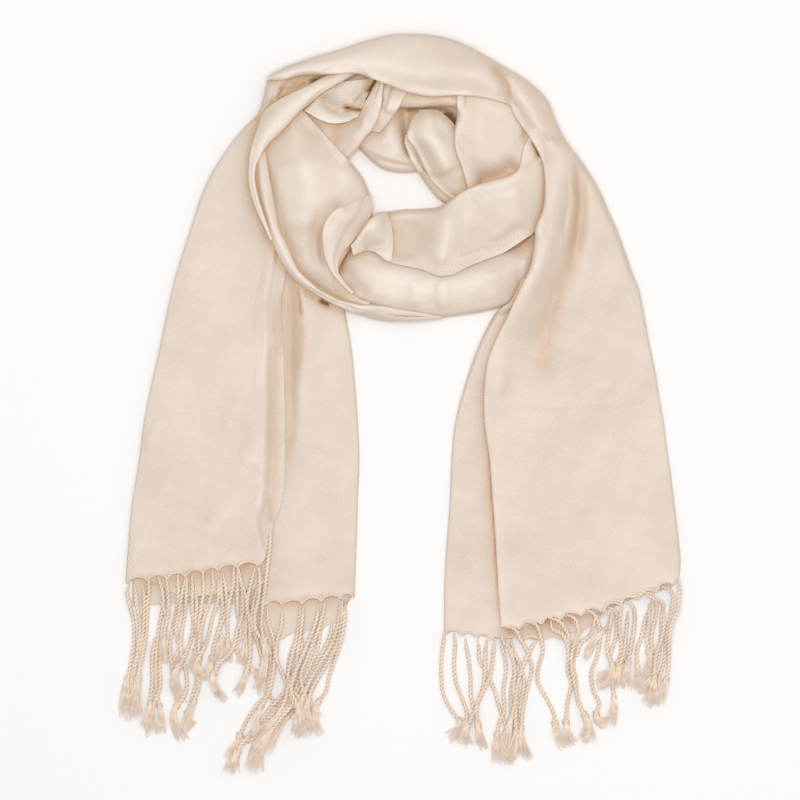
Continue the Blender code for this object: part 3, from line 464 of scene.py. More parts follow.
# Each tassel's route from its hem to its knot, the tip of its brush, and how wide that spreads.
TASSELS = {
"left_back_fringe": (
    (((-112, -197), (-110, -208.5), (-111.5, -224), (-113, -237), (-108, -249), (-101.5, -256.5)),
     (-123.5, -276), 3),
    (((-104, -195.5), (-105.5, -208.5), (-110.5, -226.5), (-113.5, -243.5), (-123.5, -254.5),
     (-131, -267), (-136.5, -279.5)), (-141.5, -311.5), 5),
    (((-88.5, -193), (-90, -200.5), (-93.5, -211), (-95.5, -226.5), (-96, -242.5), (-102.5, -254),
     (-113, -265.5), (-122, -280), (-129.5, -282)), (-147, -299.5), 3.5),
    (((-83, -191.5), (-83.5, -200.5), (-85, -211), (-92, -229.5), (-99, -242.5), (-108, -252.5),
     (-118.5, -265.5), (-127.5, -277.5), (-135, -286.5), (-138.5, -293)), (-148, -311.5), 5),
    (((-71.5, -187), (-74, -194), (-76.5, -206), (-83, -223), (-88.5, -237), (-96, -250),
     (-108, -264.5), (-117, -277.5)), (-126, -302), 4.5),
    (((-66, -184.5), (-68, -191.5), (-70, -203.5), (-76.5, -219), (-83, -233), (-91, -247.5),
     (-102.5, -262), (-113, -275)), (-121, -311.5), 5.5),
    (((-58, -181), (-58.5, -189), (-62.5, -200.5), (-71, -216.5), (-79, -234.5), (-88.5, -249),
     (-100, -262), (-109, -273.5)), (-128.5, -310), 5),
    (((-50.5, -181), (-51.5, -189), (-54.5, -200.5), (-62.5, -216.5), (-69, -229.5),
     (-76.5, -242.5), (-87, -254), (-96, -263)), (-117, -294.5), 5.5),
    (((-113, -169), (-112, -182.5), (-108, -195.5), (-106.5, -208.5), (-108, -226.5),
     (-112, -242.5), (-118.5, -254)), (-121, -281.5), 2.5),
    (((-100, -170.5), (-101, -185), (-104, -197), (-105.5, -211), (-100, -226.5), (-95, -237),
     (-87, -245), (-84.5, -252.5)), (-70, -267), 4),
    (((-84.5, -168.5), (-85, -177.5), (-86, -185), (-88.5, -198), (-92.5, -213.5), (-95, -229.5),
     (-93.5, -242.5), (-89.5, -252.5), (-86.5, -261.5)), (-91, -280), 4.5),
    (((-82.5, -169), (-83, -180), (-84.5, -190.5), (-87, -206), (-88.5, -221.5), (-95, -237),
     (-97.5, -247.5), (-101.5, -256.5)), (-121, -276), 3),
    (((-70, -167), (-70, -174.5), (-72.5, -185), (-77.5, -197), (-83, -211), (-89.5, -226.5),
     (-92.5, -239.5), (-87, -251.5)), (-79.5, -280), 5),
    (((-63.5, -165), (-65, -172), (-67.5, -182.5), (-73, -198), (-79.5, -213.5), (-84.5, -226.5),
     (-82, -241)), (-69, -265.5), 4),
    (((-50.5, -163.5), (-52, -180), (-58, -200.5), (-69, -219), (-79, -237), (-83, -247.5)),
     (-83, -280), 5),
    (((-49, -164), (-50, -182.5), (-54.5, -203.5), (-63.5, -220), (-74, -237), (-78, -249)),
     (-75.5, -277.5), 5),
    (((-46.5, -165), (-47.5, -180), (-50.5, -198), (-55.5, -215), (-60.5, -229.5),
     (-63.5, -242.5), (-69, -249.5)), (-67.5, -280), 3.5),
),
"left_front_fringe": (
    (((-230, -149.5), (-232, -155), (-230, -168), (-227, -181), (-226.5, -195.5), (-227, -206),
     (-229, -216.5), (-232, -230.5)), (-233, -264), 5.5),
    (((-226, -149.5), (-225, -155), (-224, -167), (-221.5, -182.5), (-222.5, -200.5),
     (-225, -220), (-227, -232.5)), (-227.5, -267), 6),
    (((-218.5, -151), (-217.5, -161.5), (-218, -173.5), (-218.5, -186.5), (-220.5, -206),
     (-222, -223), (-223.5, -234)), (-222.5, -262), 5),
    (((-214, -143), (-213.5, -152.5), (-215, -170.5), (-215.5, -189), (-218, -206), (-221, -220),
     (-222.5, -230)), (-230, -259), 5),
    (((-205.5, -143), (-202.5, -154), (-201.5, -167), (-204, -180), (-206, -193),
     (-207.5, -208.5), (-208, -225.5), (-207, -242.5), (-204.5, -254)), (-204, -278.5), 4),
    (((-204, -164), (-200, -173.5), (-199, -185), (-200.5, -198), (-204, -211), (-204, -226.5),
     (-204, -237), (-210, -252.5)), (-210, -280), 5),
    (((-208.5, -195.5), (-211, -212.5), (-211, -233), (-212.5, -252)), (-217, -273.5), 4.5),
    (((-198.5, -145), (-197, -161.5), (-197.5, -177.5), (-200.5, -190.5), (-201, -196)),
     (-200, -219), 3),
    (((-189, -141), (-188.5, -154), (-189.5, -169.5), (-193, -185), (-195.5, -200.5),
     (-195, -213.5), (-193, -225.5)), (-184.5, -252.5), 5),
    (((-182, -143.5), (-185.5, -159), (-188, -173.5), (-191, -189), (-188.5, -198.5)),
     (-195, -223), 3),
    (((-181, -144.5), (-182, -161.5), (-183.5, -177.5), (-186, -193), (-186, -208.5),
     (-182, -226.5), (-182.5, -242.5), (-190, -253.5)), (-182, -285), 4),
    (((-177, -142), (-176.5, -155), (-177, -170.5), (-176, -185), (-179, -200.5),
     (-183.5, -212.5), (-188.5, -220)), (-190, -242.5), 4),
    (((-174, -151), (-173, -167), (-174, -182.5), (-173, -197), (-174, -207)), (-179, -225.5), 5),
    (((-167.5, -140), (-167, -155), (-169.5, -172), (-171.5, -189), (-169, -203.5),
     (-170.5, -216.5), (-174, -236), (-181, -260)), (-175.5, -272), 3.5),
    (((-160, -138), (-158.5, -150), (-162.5, -165.5), (-167, -180), (-170.5, -195.5),
     (-171.5, -208.5), (-173, -223), (-171.5, -237), (-175.5, -250)), (-186, -280), 4),
    (((-154.5, -144.5), (-154.5, -160.5), (-160, -180), (-165, -200.5), (-171.5, -213.5)),
     (-165, -233), 4),
    (((-152, -141.5), (-152, -155), (-151, -170.5), (-153, -185), (-152, -197)),
     (-165, -229.5), 4.5),
    (((-150.5, -140), (-148, -155), (-148, -173.5), (-154.5, -189), (-158.5, -203.5),
     (-160, -212.5)), (-161, -233), 3.5),
    (((-141.5, -135), (-141.5, -148.5), (-145, -164), (-147, -185), (-146.5, -200.5)),
     (-148, -217.5), 4.5),
    (((-138, -135.5), (-138, -151), (-138.5, -172), (-135.5, -190.5), (-139, -206),
     (-134, -216.5), (-128.5, -219.5)), (-117, -245), 4),
    (((-137, -137), (-134, -155), (-134, -174.5), (-139, -190.5), (-141.5, -203.5), (-147, -211),
     (-153.5, -216.5), (-158, -225)), (-147, -250), 3),
    (((-133, -151), (-130.5, -164), (-131, -180), (-131.5, -197.5)), (-134, -220), 4.5),
    (((-123.5, -136.5), (-127, -151), (-130, -167), (-127.5, -185), (-127.5, -200.5),
     (-127.5, -211), (-130.5, -224.5)), (-140.5, -246), 3.5),
    (((-120.5, -135.5), (-119.5, -146.5), (-124.5, -164), (-125.5, -185), (-121, -200.5),
     (-116.5, -218.5)), (-123.5, -233), 3),
    (((-119.5, -136.5), (-119, -146.5), (-120.5, -161.5), (-123.5, -180), (-122, -190.5),
     (-117, -197.5)), (-114.5, -216.5), 4),
    (((-110, -102), (-110.5, -116.5), (-112, -129), (-114, -146), (-116.5, -165.5), (-118, -185),
     (-115.5, -198)), (-122, -241), 3.5),
),
"right_side_fringe": (
    (((38, -188.5), (37, -198), (35.5, -211), (35, -226), (37, -243.5), (44.5, -258.5),
     (50.5, -266)), (40, -281.5), 4.5),
    (((46, -192), (47, -199.5), (46, -217), (47.5, -233), (53.5, -249), (57, -261),
     (55.5, -268.5)), (60, -288.5), 3.5),
    (((55.5, -196), (56.5, -202.5), (58.5, -214), (60, -228.5), (60.5, -246.5), (64, -261),
     (67, -272.5)), (72.5, -291.5), 3),
    (((66, -197), (67, -204), (67.5, -214), (74, -226.5), (80, -239), (84.5, -255),
     (89.5, -269.5), (90, -276.5)), (96, -302), 4.5),
    (((74, -197.5), (73, -205.5), (72.5, -220), (71, -234.5), (66.5, -250.5), (62, -261),
     (57.5, -269.5)), (52, -286), 3),
    (((80.5, -197.5), (80, -202.5), (79, -214), (76.5, -228.5), (71, -240.5), (65, -253.5),
     (66, -268.5)), (68, -287.5), 3),
    (((85, -197.5), (87.5, -205.5), (90, -223), (88, -240.5), (88.5, -258), (84, -269.5),
     (82.5, -278.5)), (84, -303.5), 5),
    (((94.5, -197), (96, -205.5), (97.5, -223), (94.5, -240.5), (94.5, -258), (94.5, -274)),
     (91.5, -305), 5.5),
),
"right_front_fringe": (
    (((86.5, -191.5), (87.5, -198), (94.5, -205.5), (101.5, -217), (105.5, -231.5), (103, -249),
     (101.5, -269.5)), (112, -300.5), 3),
    (((89.5, -186), (97, -187.5), (103, -198), (109, -209), (112, -220), (108, -240.5),
     (104.5, -256.5), (103, -272.5)), (104.5, -297.5), 3.5),
    (((90, -197), (94.5, -208), (97.5, -223), (96.5, -240.5), (98.5, -258), (98.5, -275.5)),
     (88.5, -302), 5),
    (((106.5, -181.5), (115, -183.5), (119.5, -195), (121.5, -207), (118, -220), (117, -231.5),
     (125, -248), (131, -261), (132, -269)), (142.5, -289.5), 5),
    (((116, -197), (112.5, -202.5), (107.5, -212.5), (101.5, -228.5), (98.5, -246.5),
     (94.5, -264)), (87, -297.5), 5),
    (((125.5, -178), (134, -180.5), (142.5, -191.5), (144.5, -205.5), (142.5, -223),
     (145.5, -234.5), (142.5, -250.5), (141.5, -267.5)), (147, -288.5), 5),
    (((128, -180.5), (129.5, -188), (138, -192), (142.5, -202.5), (143.5, -214)), (), 0),
    (((141.5, -175.5), (148.5, -179), (151.5, -188), (150, -202.5), (147.5, -217), (150, -234.5),
     (151, -246.5), (157, -261.5)), (161.5, -287.5), 5.5),
    (((151.5, -190.5), (148.5, -199.5), (145.5, -217), (148.5, -234.5), (153, -253.5),
     (158, -263)), (154.5, -284.5), 4),
    (((159, -171.5), (165, -175), (169, -185), (170, -198), (168, -211), (163, -224.5),
     (164.5, -240.5), (169.5, -252), (167, -261)), (177.5, -269.5), 4.5),
    (((166, -177.5), (161.5, -193.5), (153, -201), (150, -211)), (), 0),
    (((173.5, -171.5), (179, -177.5), (177.5, -185), (172.5, -190)), (157, -215.5), 3),
    (((176.5, -169), (182.5, -172), (184.5, -183.5), (183, -198), (179, -211), (181, -224.5),
     (181, -236), (182, -246.5)), (177.5, -271), 4.5),
    (((180.5, -173), (177.5, -192), (176.5, -208), (180.5, -218.5)), (166, -230), 4.5),
    (((188.5, -166), (186.5, -185), (188.5, -205.5), (186, -217)), (166, -237.5), 5),
    (((191, -164), (197, -167.5), (200, -177.5), (198.5, -193.5), (195.5, -209.5), (191, -219)),
     (185, -239), 4.5),
    (((194, -173), (192.5, -190.5), (191, -205.5), (186.5, -220)), (179, -239), 4.5),
    (((199.5, -173), (199, -188), (196, -205.5), (194, -217)), (192.5, -240.5), 4.5),
    (((206, -156.5), (214.5, -159), (214.5, -167.5), (209, -179), (206, -193.5), (201.5, -208),
     (202, -220)), (201, -242), 4),
    (((208.5, -158.5), (216.5, -162.5), (217.5, -177.5), (214.5, -192), (214.5, -211),
     (213.5, -221.5)), (208.5, -245), 4.5),
    (((212, -166), (211.5, -185), (210, -196.5), (212, -208)), (205.5, -231.5), 3),
    (((216, -162), (223, -166), (222.5, -179), (221.5, -199.5), (219, -217), (213, -230)),
     (201, -240.5), 4),
    (((222, -151.5), (230.5, -156), (230.5, -173), (226.5, -195), (225, -214), (220, -231.5)),
     (208.5, -253.5), 5),
    (((224.5, -173), (223, -193.5), (217.5, -211), (216, -230)), (214.5, -255), 5),
    (((236.5, -144.5), (237, -158.5), (235, -173), (230.5, -183.5), (228.5, -199.5),
     (228.5, -217), (226.5, -231.5)), (217.5, -252), 4.5),
),
}

# -------------------- what lies below
def disc(radius):
    """Cell offsets inside a radius."""
    cells = int(np.ceil(radius / CELL))
    steps = range(-cells, cells + 1)
    return [(i, j) for i in steps for j in steps if np.hypot(i, j) * CELL <= radius]


def shifted(field, i, j):
    """The field moved by whole cells, its border repeated."""
    rows = np.clip(np.arange(field.shape[0]) + i, 0, field.shape[0] - 1)
    columns = np.clip(np.arange(field.shape[1]) + j, 0, field.shape[1] - 1)
    return field[rows][:, columns]


def spread(field, reach, blur):
    """The highest value within reach, smoothed."""
    widest = np.max([shifted(field, i, j) for i, j in disc(reach)], axis=0)
    return np.mean([shifted(widest, i, j) for i, j in disc(blur)], axis=0)


def sampled(field, x, y):
    """A field read between its cells."""
    u = (x - FIELD_X[0]) / CELL
    v = (y - FIELD_Y[0]) / CELL
    i = np.clip(u.astype(int), 0, field.shape[0] - 2)
    j = np.clip(v.astype(int), 0, field.shape[1] - 2)
    a, b = u - i, v - j
    near = field[i, j] * (1 - a) + field[i + 1, j] * a
    far = field[i, j + 1] * (1 - a) + field[i + 1, j + 1] * a
    return near * (1 - b) + far * b


class Bed:
    """What a sheet is laid on: heights that clear the pile, low ply and top ply."""

    def __init__(self, heights):
        raised = np.where(heights > 0.0, heights + SEAM, 0.0)
        self.low = spread(raised, REACH_LOW, BLUR_LOW)
        self.top = spread(raised, REACH_TOP, BLUR_TOP)

    def lift(self, needed):
        """Raise the bed round the cells where a sheet would touch the pile."""
        self.low = np.maximum(self.low, spread(needed, REACH_LOW, BLUR_LOW))
        self.top = np.maximum(self.top, spread(needed, REACH_TOP, BLUR_LOW))


class Pile:
    """The height of everything laid so far."""

    def __init__(self):
        columns = int(round((FIELD_X[1] - FIELD_X[0]) / CELL)) + 1
        rows = int(round((FIELD_Y[1] - FIELD_Y[0]) / CELL)) + 1
        self.heights = np.zeros((columns, rows))

    def add(self, grid, wall):
        for i, j, z in covered(grid, wall):
            np.maximum.at(self.heights, (i, j), z)

    def touched(self, grid, wall):
        """The height that clears the pile in each cell where a sheet doesn't, else 0."""
        clear = np.where(self.heights > 0.0, self.heights + SEAM, -1.0)
        needed = np.zeros_like(clear)
        for i, j, z in covered(grid, wall):
            lifted = np.where(z < clear[i, j], clear[i, j] + SETTLE_MORE, 0.0)
            np.maximum.at(needed, (i, j), lifted)
        return needed


def covered(grid, wall):
    """The cells under both sides of a sheet, with their heights, a batch at a time."""
    longest = [np.linalg.norm(np.diff(grid, axis=axis), axis=-1).max() for axis in (0, 1)]
    down, over = (np.linspace(0.0, 1.0, int(length / CELL) + 2) for length in longest)
    for side in sides(grid, wall):
        for a in down:
            near = side[:-1] * (1 - a) + side[1:] * a
            for b in over:
                spot = (near[:, :-1] * (1 - b) + near[:, 1:] * b).reshape(-1, 3)
                i = np.round((spot[:, 0] - FIELD_X[0]) / CELL).astype(int)
                j = np.round((spot[:, 1] - FIELD_Y[0]) / CELL).astype(int)
                yield i, j, spot[:, 2]


def settled(laid_on, wall):
    """A sheet laid on the pile, its bed lifted until nothing touches."""
    bed = Bed(PILE.heights)
    grid = laid_on(bed)
    for _ in range(SETTLE_ROUNDS):
        needed = PILE.touched(grid, wall)
        if not needed.any():
            break
        bed.lift(needed)
        grid = laid_on(bed)
    return grid


# -------------------- how a sheet is made
def headings(grid, axis):
    """Mean direction at each point of a grid, from the steps to its neighbours."""
    step = np.diff(grid, axis=axis)
    step /= np.maximum(np.linalg.norm(step, axis=-1, keepdims=True), TINY)
    first, last = (np.take(step, [end], axis=axis) for end in (0, -1))
    both = np.concatenate([first, step, last], axis=axis)
    count = both.shape[axis]
    return (np.take(both, range(1, count), axis=axis)
            + np.take(both, range(count - 1), axis=axis))


def sides(grid, wall):
    """The two faces of a sheet, half its wall to either side of its middle surface."""
    normal = np.cross(headings(grid, 0), headings(grid, 1))
    normal /= np.maximum(np.linalg.norm(normal, axis=-1, keepdims=True), TINY)
    return grid + normal * wall / 2, grid - normal * wall / 2


def smooth(values, knots, at):
    """A smooth line through values at uneven knots, down the first axis."""
    slopes = np.gradient(values, knots, axis=0)
    k = np.clip(np.searchsorted(knots, at, side="right") - 1, 0, len(knots) - 2)
    shape = (-1,) + (1,) * (values.ndim - 1)
    width = (knots[k + 1] - knots[k]).reshape(shape)
    s = (at - knots[k]).reshape(shape) / width
    return (values[k] * (2 * s**3 - 3 * s**2 + 1) + slopes[k] * width * (s**3 - 2 * s**2 + s)
            + values[k + 1] * (3 * s**2 - 2 * s**3) + slopes[k + 1] * width * (s**3 - s**2))


def eased(s):
    """From 0 to 1 with a soft start and end."""
    s = np.clip(s, 0.0, 1.0)
    return s * s * (3.0 - 2.0 * s)


def station(row):
    """A row's plan and top heights at even shares of its length."""
    at = np.linspace(0.0, 1.0, STATIONS)
    line = np.array([row.edge_in, *row.via, row.edge_out]) * MM
    run = np.concatenate([[0.0], np.cumsum(np.hypot(*np.diff(line, axis=0).T))])
    if len(line) > 2:
        plan = smooth(line, run, at * run[-1])
    else:
        plan = line[0] + (line[1] - line[0]) * at[:, None]
    tops = np.array(row.tops, float) * MM
    crown = smooth(tops, np.linspace(0.0, 1.0, len(tops)), at)
    return np.column_stack([plan, crown])


def lofted(rows, hem=None):
    """Plan and top height over a whole stretch, in fine even rows."""
    form = np.array([station(row) for row in rows])
    steps = np.linalg.norm(np.diff(form[..., :2], axis=0), axis=-1).mean(axis=1)
    knots = np.concatenate([[0.0], np.cumsum(steps)])
    step = max(ROW_STEP, knots[-1] / MOST_ROWS)
    places = np.linspace(0.0, knots[-1], int(knots[-1] / step) + 1)
    if hem is not None:
        start = knots[-1] - HEM_REACH
        near = np.linspace(start, knots[-1], HEM_ROWS)
        places = np.concatenate([places[places < start - step / 2], near])
    form = smooth(form, knots, places)
    away = knots[-1] - places
    if hem is not None:
        scalloped(form, away, hem)
    drop = eased(1.0 - away / DROP_REACH)[:, None, None] + np.zeros_like(form[..., :1])
    return np.concatenate([form, drop], axis=-1)


def scallop(hem, x):
    """How far a hem hangs between its feet at each x: 0 at an arch's top, 1 at a foot."""
    feet = np.array(hem.feet) * MM
    k = np.clip(np.searchsorted(feet, x) - 1, 0, len(feet) - 2)
    s = np.clip((x - feet[k]) / (feet[k + 1] - feet[k]), 0.0, 1.0)
    if hem.lean:
        fall = 1.0 - np.sqrt(np.clip(1.0 - (s / hem.lean) ** 2, 0.0, 1.0))
        return np.where(s < hem.lean, fall, (1.0 - s) / (1.0 - hem.lean))
    return 1.0 - np.sin(np.pi * s) ** HEM_ROUND


def scalloped(form, away, hem):
    """Draw a hem's cloth up into arches between the feet of its tassels."""
    near = eased(1.0 - away / HEM_REACH)[:, None]
    hang = scallop(hem, form[..., 0])
    form[..., 1] -= near * (hem.drop * hang - hem.rise) * MM
    form[..., 2] += near * (1.0 - hang) * HEM_PUFF


def along(form, at):
    """Values of a form at shares across each of its rows."""
    place = np.clip(at, 0.0, 1.0) * (form.shape[1] - 1)
    k = np.clip(place.astype(int), 0, form.shape[1] - 2)
    row = np.arange(form.shape[0])[:, None]
    s = (place - k)[..., None]
    return form[row, k] * (1 - s) + form[row, k + 1] * s


def reach_of(crease, x, y):
    """How strongly a crease is felt at each point: 1 along its line, fading to its ends."""
    path = np.array(crease.path) * MM
    lengths = np.hypot(*np.diff(path, axis=0).T)
    total = lengths.sum()
    near, gone, side = np.full_like(x, np.inf), np.zeros_like(x), np.zeros_like(x)
    before = 0.0
    for start, end, length in zip(path[:-1], path[1:], lengths):
        edge = (end - start) / length
        dx, dy = x - start[0], y - start[1]
        s = np.clip(dx * edge[0] + dy * edge[1], 0.0, length)
        away = np.hypot(dx - s * edge[0], dy - s * edge[1])
        closer = away < near
        near = np.where(closer, away, near)
        gone = np.where(closer, before + s, gone)
        side = np.where(closer, edge[0] * dy - edge[1] * dx, side)
        before += length
    width = np.where(side > 0.0, crease.left, crease.right) * MM
    fade = eased(gone / total / CREASE_FADE) * eased((total - gone) / total / CREASE_FADE)
    return fade * np.exp(-(near / width) ** 2)


def pressed(creases, x, y):
    """How far the creases lift or sink each point."""
    lifts = (crease.depth * MM * reach_of(crease, x, y) for crease in creases)
    return sum(lifts, np.zeros_like(x))


def soft_waves(x, y):
    """The slight unevenness of a cloth laid by hand."""
    return sum(
        height * MM * np.sin((x * np.cos(turn) + y * np.sin(turn)) * 2 * np.pi / pitch + start)
        for height, pitch, turn, start in SOFT_WAVES)


def plies_below(runs, at):
    """How many plies lie under the top one, falling softly to none past their ends."""
    count = np.zeros_like(at)
    for run in runs:
        if run.level < 1.0:
            first, last = sorted((run.start, run.end))
            count += eased(1.0 - np.maximum(first - at, at - last) / PLY_FADE)
    return count


def height(form, bed, creases, at, level, runs):
    """Middle height of the ply at a level, 0 for the lowest one and 1 for the top."""
    x, y, crown = np.moveaxis(along(form, at)[..., :3], -1, 0)
    low = sampled(bed.low, x, y) + CLOTH / 2
    above = PLY_RISE * plies_below(runs, at)
    over_pile = sampled(bed.top, x, y) + CLOTH / 2 + np.minimum(above, PLY_RISE)
    least = np.maximum(over_pile, low + above)
    crown = np.maximum(crown - CLOTH / 2, least) + pressed(creases, x, y) + soft_waves(x, y)
    return low + (np.maximum(crown, low + above) - low) * level


def widths(form):
    """The length of each of a form's rows, as a column."""
    return np.linalg.norm(np.diff(form[..., :2], axis=1), axis=-1).sum(axis=1)[:, None]


def columns_of(run, width):
    """How many columns a run is drawn with."""
    length = abs(run.end - run.start) * width.mean()
    step = max(COLUMN_STEP, length / MOST_COLUMNS) if run.fine else HIDDEN_STEP
    return max(2, int(length / step))


def middle_column(form, runs):
    """The grid's column in the middle of the ply that shows."""
    before = 0
    for run in runs:
        columns = columns_of(run, widths(form))
        if run.level == 1.0:
            return before + columns // 2
        before += columns + FOLD_STEPS
    raise ValueError("a sheet needs a ply that shows")


def folded(form, bed, creases, runs):
    """A sheet's middle surface, folded under at its edges, as a grid of points."""
    rows = form.shape[0]
    width = widths(form)
    shares, heights, drops = [], [], []

    def level(at, run):
        return height(form, bed, creases, at, run.level, runs)

    for run, after in zip(runs, [*runs[1:], None]):
        forward = 1.0 if run.end > run.start else -1.0
        start = shares[-1][:, -1:] if shares else np.full((rows, 1), run.start)
        end = np.full((rows, 1), run.end)
        if after is not None:
            upper, lower = (level(end, each) for each in (run, after))
            turn = np.abs(upper - lower) / 2 * FOLD_ROUND
            turn = np.clip(turn, FOLD_LEAST, FOLD_SHARE * width) / width
            end = end - forward * turn
        columns = columns_of(run, width)
        at = start + (end - start) * np.linspace(0.0, 1.0, columns + 1)
        at = at[:, 1:] if shares else at
        shares.append(at)
        heights.append(level(at, run))
        reached = np.linspace(0.0, 1.0, at.shape[1])
        drops.append(np.interp(reached, np.linspace(0.0, 1.0, len(run.longer)), run.longer) * MM)
        if after is not None:
            upper, lower = (level(end, each) for each in (run, after))
            angle = np.linspace(0.0, np.pi, FOLD_STEPS + 1)[1:]
            shares.append(end + forward * turn * np.sin(angle))
            heights.append((upper + lower) / 2 + (upper - lower) / 2 * np.cos(angle))
            drops.append(np.full(FOLD_STEPS, run.longer[-1] * MM))
    whole = along(form, np.concatenate(shares, axis=1))
    whole[..., 1] -= whole[..., 3] * np.concatenate(drops)
    whole[..., 2] = np.concatenate(heights, axis=1)
    return whole[..., :3]


def unfolded(grid, middle, turn):
    """Each point's place on the flat cloth, in metres, turned so the twill runs its way.

    Rows are read square to the sheet's middle line, so that the ribs stay straight where
    a row lies aslant.
    """
    centre = grid[:, middle, :2]
    ahead = headings(centre[:, None], 0)[:, 0]
    for _ in range(GRAIN_SMOOTHING):
        ahead[1:-1] = (ahead[:-2] + 2 * ahead[1:-1] + ahead[2:]) / 4
    ahead /= np.linalg.norm(ahead, axis=-1, keepdims=True)
    beside = np.stack([-ahead[:, 1], ahead[:, 0]], axis=-1)
    steps = np.diff(grid, axis=1)
    across = np.hypot((steps[..., :2] * beside[:, None]).sum(axis=-1), steps[..., 2])
    u = np.concatenate([np.zeros((grid.shape[0], 1)), np.cumsum(across, axis=1)], axis=1)
    u -= u[:, middle][:, None]
    gone = np.concatenate([[0.0], np.cumsum(np.hypot(*np.diff(centre, axis=0).T))])
    v = gone[:, None] + ((grid[..., :2] - centre[:, None]) * ahead[:, None]).sum(axis=-1)
    cos, sin = np.cos(turn), np.sin(turn)
    return np.stack([u * cos - v * sin, u * sin + v * cos], axis=-1)


def shell_object(name, grid, uv, wall, material):
    """A thin closed shell on a sheet's middle surface."""
    rows, columns = grid.shape[:2]
    count = rows * columns
    index = np.arange(count).reshape(rows, columns)
    upper = np.stack([index[:-1, :-1], index[1:, :-1], index[1:, 1:], index[:-1, 1:]], axis=-1)
    upper = upper.reshape(-1, 4)
    edge = np.concatenate([index[:-1, 0], index[-1, :-1], index[:0:-1, -1], index[0, :0:-1]])
    after = np.roll(edge, -1)
    rim = np.stack([after, edge, edge + count, after + count], axis=-1)
    faces = np.concatenate([upper, upper[:, ::-1] + count, rim])
    mesh = bpy.data.meshes.new(name)
    mesh.from_pydata(np.concatenate(sides(grid, wall)).reshape(-1, 3).tolist(), [], faces.tolist())
    layer = mesh.uv_layers.new(name="UVMap")
    flat = np.concatenate([uv.reshape(-1, 2)] * 2)[faces.reshape(-1)]
    layer.data.foreach_set("uv", flat.reshape(-1))
    mesh.shade_smooth()
    mesh.set_sharp_from_angle(angle=np.radians(SHARP_ANGLE))
    mesh.materials.append(material)
    thing = bpy.data.objects.new(name, mesh)
    bpy.context.scene.collection.objects.link(thing)
    return thing


def paint_light_and_shade():
    """Mark how far each point of the cloth lies below what is beside it (for painted shade), which
    are crests (for a painted highlight), each crease's painted tone, and where an edge turns down
    (for a painted glow).
    """
    rim = spread(PILE.heights, SHELTER_REACH, SHELTER_REACH)
    covered_cells = (PILE.heights > 0.0).astype(float)
    around = disc(CREST_REACH)
    share = np.mean([shifted(covered_cells, i, j) for i, j in around], axis=0)
    level = np.mean([shifted(PILE.heights, i, j) for i, j in around], axis=0)
    level /= np.maximum(share, CREST_LEAST)
    for piece, creases in LAID:
        mesh = piece.data
        place, normal = (np.empty(len(mesh.vertices) * 3) for _ in range(2))
        mesh.vertices.foreach_get("co", place)
        mesh.vertices.foreach_get("normal", normal)
        x, y, z = place.reshape(-1, 3).T
        lean = normal.reshape(-1, 3)[:, 2]
        facing_up = eased((lean - FACING_FROM) / (FACING_TO - FACING_FROM))
        # painted shade where a point lies below what is beside it
        deep = eased((sampled(rim, x, y) - z - SHELTER_FROM) / (SHELTER_TO - SHELTER_FROM))
        # painted light: a point above the level around it is painted paler, one below it darker
        proud = np.clip((z - sampled(level, x, y)) / CREST_RISE, -1.0, 1.0)
        fold_shade = np.zeros_like(x)
        # each crease's tone paints warm shade along it, or a pale highlight that clears the painted
        # shade
        for crease in creases:
            if crease.tone > 0.0:
                fold_shade = np.maximum(fold_shade, crease.tone * reach_of(crease, x, y))
            elif crease.tone < 0.0:
                bloom = -crease.tone * reach_of(crease, x, y)
                proud += bloom
                deep *= 1.0 - np.minimum(bloom * BLOOM_CLEARS, 1.0)
        # a painted glow where the cloth turns down at an edge
        edge = 1.0 - eased(lean / EDGE_LEAN)
        for label, values in (("crevice_shade", deep * facing_up), ("crest", proud * facing_up),
                              ("fold_shade", fold_shade * facing_up), ("edge", edge)):
            mesh.attributes.new(label, "FLOAT", "POINT").data.foreach_set("value", values)


def lay(*stretches, rests_on=(), turn=0.0):
    """Lay the sheet of one or more stretches on the pile, and hide their parts."""
    settings = bpy.context.scene.shawl
    wall = settings.cloth
    sheet = stretches[0] if len(stretches) == 1 else "crossing"
    runs = PLIES[sheet]
    creases = [Crease(*each) for each in CREASES.get(sheet, ())]
    rows = [Row(*row) for stretch in stretches for row in STRETCHES[stretch]]
    form = lofted(rows, HEMS.get(stretches[-1]))
    grid = settled(lambda bed: folded(form, bed, creases, runs), wall)
    PILE.add(grid, wall)
    flat = unfolded(grid, middle_column(form, runs), np.radians(turn))
    piece = shell_object(sheet + "_cloth", grid, flat, wall, twill_material(settings))
    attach(piece, BODY)
    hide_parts(*stretches)
    LAID.append((piece, creases))


# -------------------- nodes and finishes
def joining(operation, swapped=False):
    """A method that puts its value and any other one through a Math node."""
    def join(value, *other):
        return value.maths(operation, *((*other, value) if swapped else (value, *other)))
    return join


class Value:
    """A node's socket that takes part in sums."""

    def __init__(self, tree, socket):
        self.tree = tree
        self.socket = socket

    def maths(self, operation, *terms):
        node = self.tree.nodes.new("ShaderNodeMath")
        node.operation = operation
        for place, term in enumerate(terms):
            plug(self.tree, node.inputs[place], term)
        return Value(self.tree, node.outputs[0])

    def at_least(self, least):
        return self.maths("MAXIMUM", self, least)

    __add__, __radd__ = joining("ADD"), joining("ADD", True)
    __sub__, __rsub__ = joining("SUBTRACT"), joining("SUBTRACT", True)
    __mul__, __rmul__ = joining("MULTIPLY"), joining("MULTIPLY", True)
    __truediv__, __pow__ = joining("DIVIDE"), joining("POWER")
    __lt__, __gt__ = joining("LESS_THAN"), joining("GREATER_THAN")
    __abs__, sine = joining("ABSOLUTE"), joining("SINE")


def plug(tree, socket, value):
    """Link a value to a socket, or set the socket to a constant."""
    if isinstance(value, Value):
        tree.links.new(value.socket, socket)
    else:
        socket.default_value = value


